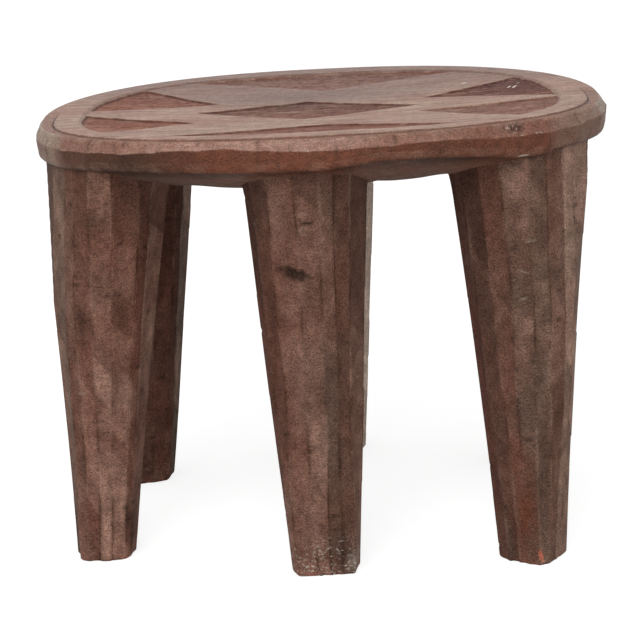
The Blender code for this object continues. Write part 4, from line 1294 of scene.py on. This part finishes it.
class Wood(Nodes):
    """A wood material whose colour is laid on coat by coat.

    Its hue is a number, or the name of a kept value.
    """

    def __init__(self, name, hue, plain, red, olive):
        self.material = bpy.data.materials.new(name)
        self.material.use_nodes = True
        super().__init__(self.material.node_tree)
        self.place = self.add("ShaderNodeTexCoord").outputs["Object"]
        clouds = self.spread(self.noise(STAIN_CLOUDS), *CLOUDS_TO_HUE)
        hue = self.calc("ADD", self.kept(hue) if isinstance(hue, str) else hue, clouds)
        self.colour = plain
        self.lay(red, self.spread(hue, 0.0, 1.0))
        self.lay(olive, self.spread(hue, 0.0, -1.0))
        self.lay(STAIN_DARK, self.spread(self.noise(STAIN_PATCHES), *DARK_BY_PATCHES))

    def kept(self, name):
        """A value that is kept at each point."""
        return self.add("ShaderNodeAttribute", attribute_name=name).outputs["Fac"]

    def noise(self, pattern):
        """Cloudy noise in a pattern."""
        scale = tuple(1.0 / (pattern.size * share) for share in pattern.stretch)
        mapped = self.add("ShaderNodeMapping", {"Vector": self.place, "Scale": scale}).outputs[0]
        inputs = {"Vector": mapped, "Scale": 1.0, "Detail": pattern.detail, "Roughness": pattern.roughness}
        return self.add("ShaderNodeTexNoise", inputs).outputs[0]

    def spot(self, middle, reach, squeeze, full=0.6, turn=0.0, about="Z_AXIS"):
        """1 near a middle, 0 beyond the reach, which is squeezed along the axes and turned."""
        place = self.place
        if turn:
            inputs = {"Vector": place, "Center": middle, "Angle": radians(turn)}
            place = self.add("ShaderNodeVectorRotate", inputs, rotation_type=about).outputs[0]
        away = self.vector("SUBTRACT", place, middle)["Vector"]
        away = self.vector("MULTIPLY", away, squeeze)["Vector"]
        return self.spread(self.vector("LENGTH", away)["Value"], reach, full * reach)

    def blend(self, share, first, second, how="MIX"):
        """One colour over another."""
        inputs = {0: share, 6: as_light(first), 7: as_light(second)}
        return self.add("ShaderNodeMix", inputs, data_type="RGBA", blend_type=how).outputs[2]

    def lay(self, colour, *shares):
        """A coat over the colour so far, as strong as the product of the shares."""
        self.colour = self.blend(self.times(*shares), self.colour, colour)

    def shade(self, factor):
        """Make the colour so far lighter or darker."""
        grey = self.add("ShaderNodeCombineColor", {0: factor, 1: factor, 2: factor}).outputs[0]
        self.colour = self.blend(1.0, self.colour, grey, "MULTIPLY")

    def finished(self, contrast, roughness, specular):
        """The material, with grain over its colour, its roughness, and a fine bump."""
        parts = [self.times(self.noise(pattern), weight) for pattern, weight in GRAIN]
        grain = self.spread(self.calc("ADD", *parts), *GRAIN_SPAN, -1.0, 1.0)
        self.shade(self.spread(grain, -1.0, 1.0, 1.0 - contrast, 1.0 + contrast))
        inputs = {"Height": grain, "Strength": GRAIN_BUMP_STRENGTH, "Distance": GRAIN_BUMP}
        shader = self.tree.nodes["Principled BSDF"].inputs
        self.feed(shader["Base Color"], self.colour)
        smoother = self.spread(grain, -1.0, 1.0, GRAIN_ROUGHNESS, -GRAIN_ROUGHNESS)
        self.feed(shader["Roughness"], self.calc("ADD", roughness, smoother))
        self.feed(shader["Normal"], self.add("ShaderNodeBump", inputs).outputs[0])
        shader["Specular IOR Level"].default_value = specular
        return self.material


def seat_wood():
    """Wood of the seat: rubbed pale and smooth on what stands proud, with painted sheen, and red and dark in
    the carving, with painted shade in its grooves and towards the back of each recess.
    """
    wood = Wood("carved_seat_wood", SEAT_HUE, STAIN, STAIN_RED, STAIN)
    kept = wood.kept
    spread = wood.spread
    streaks = wood.noise(RUBBED_STREAKS)
    patchy = wood.noise(RIM_PATCHES)
    patchy_flats = wood.calc("ADD", patchy, wood.times(kept("flat_tone"), FLAT_TONE_IN_PATCHES))
    recess = kept("recess")
    underside = kept("underside")

    # Pale of the rubbed top: rubbed wood with painted sheen
    pale = wood.blend(spread(wood.noise(RUBBED_CLOUDS), *PINK_BY_CLOUDS), RUBBED_WITH_SHEEN, RUBBED_PINK_WITH_SHEEN)
    pale = wood.blend(spread(wood.axis(wood.place, "Y"), *DULL_TOWARDS_BACK), pale, RUBBED_BACK_WITH_SHEEN)
    tinge = wood.spot(TINGE_PLACE, 1.0, (1.0 / TINGE_HALF_WIDTH, 1.0 / TINGE_HALF_DEPTH, 0.0), full=0.1)
    pale = wood.blend(wood.times(tinge, spread(streaks, *TINGE_BY_STREAKS)), pale, PURPLE_TINGE)
    floor = wood.blend(kept("tone"), FLOOR_RED, FLOOR_DARK)
    floor = wood.blend(spread(streaks, *FLOOR_BY_STREAKS), floor, pale)

    # The lower band made darker, by an amount that changes round the rim
    wood.lay(STAIN_DARK, kept("grimy"))
    wood.lay(pale, kept("rubbed"), spread(streaks, *RUBBED_AND_SHEEN_BY_STREAKS))
    # Upper band made paler: partly wear, partly painted light
    wood.lay(BAND_WORN_AND_LIT, kept("band"), spread(patchy_flats, *BAND_BY_PATCHES))
    # Painted sheen on the ends of the rim
    wood.lay(END_SHEEN, kept("end"), spread(patchy_flats, *END_BY_PATCHES))
    wood.lay(STAIN_DARK, kept("flat_start"), spread(patchy, *FLAT_START_BY_PATCHES))
    wood.lay(floor, recess)
    wood.lay(LINE_DARK, kept("peck"), PECK_COAT)
    # Painted shade in the grooves and at the feet of the walls
    wood.lay(LINE_DARK, kept("corner"), spread(streaks, *GROOVE_SHADE_BY_STREAKS))
    # Pale arrises of the top, the rim and the carving: partly wear, partly painted highlight
    wood.lay(RUBBED_WITH_SHEEN, kept("edge"), spread(patchy, *EDGE_BY_PATCHES))
    wood.lay(SCUFF, kept("chip"), spread(patchy, *CHIP_BY_PATCHES), CHIP_COAT)
    # Painted shade under the rim's lower edge, where it turns into the belly
    wood.lay(GRIME, kept("crease"), spread(patchy, *RIM_FOOT_SHADE_BY_PATCHES))
    wood.lay(WORN_WOOD, underside, UNDERSIDE_COAT)
    for dab in WHITE_DABS:
        squeeze = (1.0 / dab.half_width, 1.0 / dab.half_depth, 0.0)
        wood.lay(WHITE, wood.spot((dab.x, dab.y, 0.0), 1.0, squeeze, turn=dab.turn), dab.strength)
    wood.lay(SCUFF, wood.spot(LIP_CHIP, LIP_CHIP_REACH, LIP_CHIP_SQUEEZE), LIP_CHIP_COAT)
    torn = wood.noise(TORN_FIBRES)
    scuff = wood.spot(RIM_SCUFF, RIM_SCUFF_REACH, RIM_SCUFF_SQUEEZE)
    wood.lay(GRIME, scuff, spread(torn, *DARK_BY_FIBRES))
    wood.lay(SCUFF, scuff, spread(torn, *PALE_BY_FIBRES))
    roughness = spread(wood.calc("MAXIMUM", recess, underside), 0.0, 1.0, RUBBED_ROUGHNESS, CARVED_ROUGHNESS)
    return wood.finished(SEAT_GRAIN, roughness, SEAT_SPECULAR)


def leg_wood():
    """Wood of the legs: each flat and stroke a tone of its own, partly painted light and shade, dark
    patches, some of them painted shade under the rim, and scuffed feet.
    """
    wood = Wood("hewn_leg_wood", "hue", LEG_STAIN, LEG_RED, LEG_OLIVE)
    kept = wood.kept
    spread = wood.spread
    flat_tone = kept("flat_tone")
    mottle = spread(wood.noise(LEG_MOTTLE), *MOTTLE_TO_TONE)
    tone = wood.calc("ADD", flat_tone, wood.times(kept("stroke"), STROKE_IN_TONE), mottle)
    # Each flat paler or darker by its tone, partly painted light and shade
    wood.lay(WORN_WOOD, spread(tone, *PALE_WOOD_BY_TONE))
    # Painted highlight: a flat with a tone above 1 turns pale, as a lit flank of a leg
    wood.lay(SCUFF, spread(flat_tone, *HIGHLIGHT_BY_TONE))
    wood.shade(wood.calc("POWER", 2.0, wood.times(tone, TONE_STOPS)))
    arris = kept("arris")
    wear = wood.noise(LEG_WEAR)
    wood.lay(WORN_WOOD, arris, spread(wear, *PALE_ARRIS_BY_WEAR))
    wood.lay(STAIN_DARK, arris, spread(wear, *DARK_ARRIS_BY_WEAR))
    wood.lay(GRIME, spread(wood.noise(LEG_GRIME), *GRIME_BY_CLOUDS))
    for patch in LEG_PATCHES:
        middle = (patch.x, patch.y, patch.z)
        squeeze = (1.0 / patch.half_width, PATCH_DEPTH_SQUEEZE / patch.half_width, 1.0 / patch.half_height)
        near = wood.spot(middle, 1.0, squeeze, full=0.2, turn=-patch.slant, about="Y_AXIS")
        strengths = (PATCH_LEAST * patch.strength, patch.strength)
        wood.lay(patch.colour, near, spread(wear, *PATCH_BY_WEAR, *strengths))
    wood.lay(GRIME, kept("nick"), NICK_COAT)
    wood.lay(GRIME, kept("torn"), TORN_COAT)
    wood.lay(SCUFF, kept("scratch"), SCRATCH_COAT)
    most = wood.spot(SCUFFED_FOOT, SCUFFED_FOOT_REACH, (1.0, 1.0, 0.0))
    scuffs = spread(wood.noise(FOOT_SCUFFS), *SCUFFS_BY_SPECKS)
    low = spread(wood.axis(wood.place, "Z"), *SCUFFS_BY_HEIGHT)
    wood.lay(SCUFF, scuffs, low, spread(most, *SCUFFS_BY_FOOT))
    raw = wood.times(kept("foot_edge"), spread(wear, *RAW_BY_WEAR), spread(most, *RAW_BY_FOOT))
    wood.lay(BARE_WOOD, wood.calc("MAXIMUM", raw, kept("bare")))
    return wood.finished(LEG_GRAIN, LEG_ROUGHNESS, LEG_SPECULAR)


def add_object(name, data):
    """Object in the scene, at the origin."""
    piece = bpy.data.objects.new(name, data)
    bpy.context.scene.collection.objects.link(piece)
    return piece


def build_seat(dents):
    """Carved seat in place of the plain solid."""
    wood = seat_wood()
    seat = add_object("carved_seat", seat_mesh())
    add_dents(seat, dents, SEAT_DENTS, wood)
    made_plain(seat, SEAT_SHARP_ANGLE)
    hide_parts("seat")
    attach(seat, "root")


def build_legs(dents):
    """Hewn legs in place of the plain solids."""
    wood = leg_wood()
    strokes = strokes_tree()
    for number, leg in enumerate(LEGS):
        piece = add_object(leg.name.replace("leg_", "hewn_leg_"), HewnLeg(leg, number).mesh())
        add_marks(piece, strokes, {**LEG_STROKES, "Wood": wood})
        add_dents(piece, dents, LEG_DENTS, wood, number)
        made_plain(piece, LEG_SHARP_ANGLE)
        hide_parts(leg.name)
        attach(piece, "root")


def build_floor():
    """Pale ground that the camera sees as white, with a faint shadow of the stool."""
    half = GROUND_SIZE / 2
    corners = [(x, y, -GROUND_DROP) for x, y in ((-half, -half), (half, -half), (half, half), (-half, half))]
    floor = add_object("floor", new_mesh("floor", corners, [(0, 1, 2, 3)], {}))
    material = bpy.data.materials.new("pale_floor")
    material.use_nodes = True
    nodes = Nodes(material.node_tree)
    nodes.tree.nodes.clear()
    seen = nodes.add("ShaderNodeLightPath").outputs["Is Camera Ray"]
    grey = nodes.spread(seen, 0.0, 1.0, GROUND_BOUNCE, GROUND_GREY)
    matt = nodes.add("ShaderNodeBsdfDiffuse", {"Color": grey})
    glow = nodes.add("ShaderNodeEmission", {"Strength": nodes.times(seen, GROUND_GLOW)})
    both = nodes.add("ShaderNodeAddShader", {0: matt.outputs[0], 1: glow.outputs[0]})
    nodes.add("ShaderNodeOutputMaterial", {"Surface": both.outputs[0]})
    floor.data.materials.append(material)


def build_light():
    """Surroundings that show white and light the stool a little less, and one large soft lamp."""
    world = bpy.data.worlds.new("white_surroundings")
    world.use_nodes = True
    nodes = Nodes(world.node_tree)
    path = nodes.add("ShaderNodeLightPath").outputs
    ways = [path[ray] for ray in ("Is Camera Ray", "Is Glossy Ray", "Is Transmission Ray")]
    seen = nodes.calc("MAXIMUM", *ways)
    background = nodes.tree.nodes["Background"].inputs
    nodes.feed(background["Strength"], nodes.spread(seen, 0.0, 1.0, SURROUNDINGS_LIGHT, 1.0))
    background["Color"].default_value = (1.0, 1.0, 1.0, 1.0)
    bpy.context.scene.world = world
    lamp = add_object("soft_lamp", bpy.data.lights.new("soft_lamp", "AREA"))
    lamp.data.size = SOFT_LAMP_SIZE
    lamp.data.energy = SOFT_LAMP_POWER
    lamp.location = SOFT_LAMP_PLACE
    aim = Vector(SOFT_LAMP_AIM) - Vector(SOFT_LAMP_PLACE)
    lamp.rotation_euler = aim.to_track_quat("-Z", "Y").to_euler()


def build_camera():
    """Camera at the photograph's place."""
    camera = add_object("camera", bpy.data.cameras.new("camera"))
    camera.data.lens = CAMERA_LENS
    tilt = Matrix.Rotation(radians(90.0 - CAMERA_DIP), 4, "X")
    roll = Matrix.Rotation(radians(-CAMERA_ROLL), 4, "Z")
    camera.matrix_world = Matrix.Translation(CAMERA_PLACE) @ tilt @ roll
    bpy.context.scene.camera = camera


dents = dents_tree()
build_seat(dents)
build_legs(dents)
build_floor()
build_light()
build_camera()
bpy.context.scene.view_settings.view_transform = "Standard"
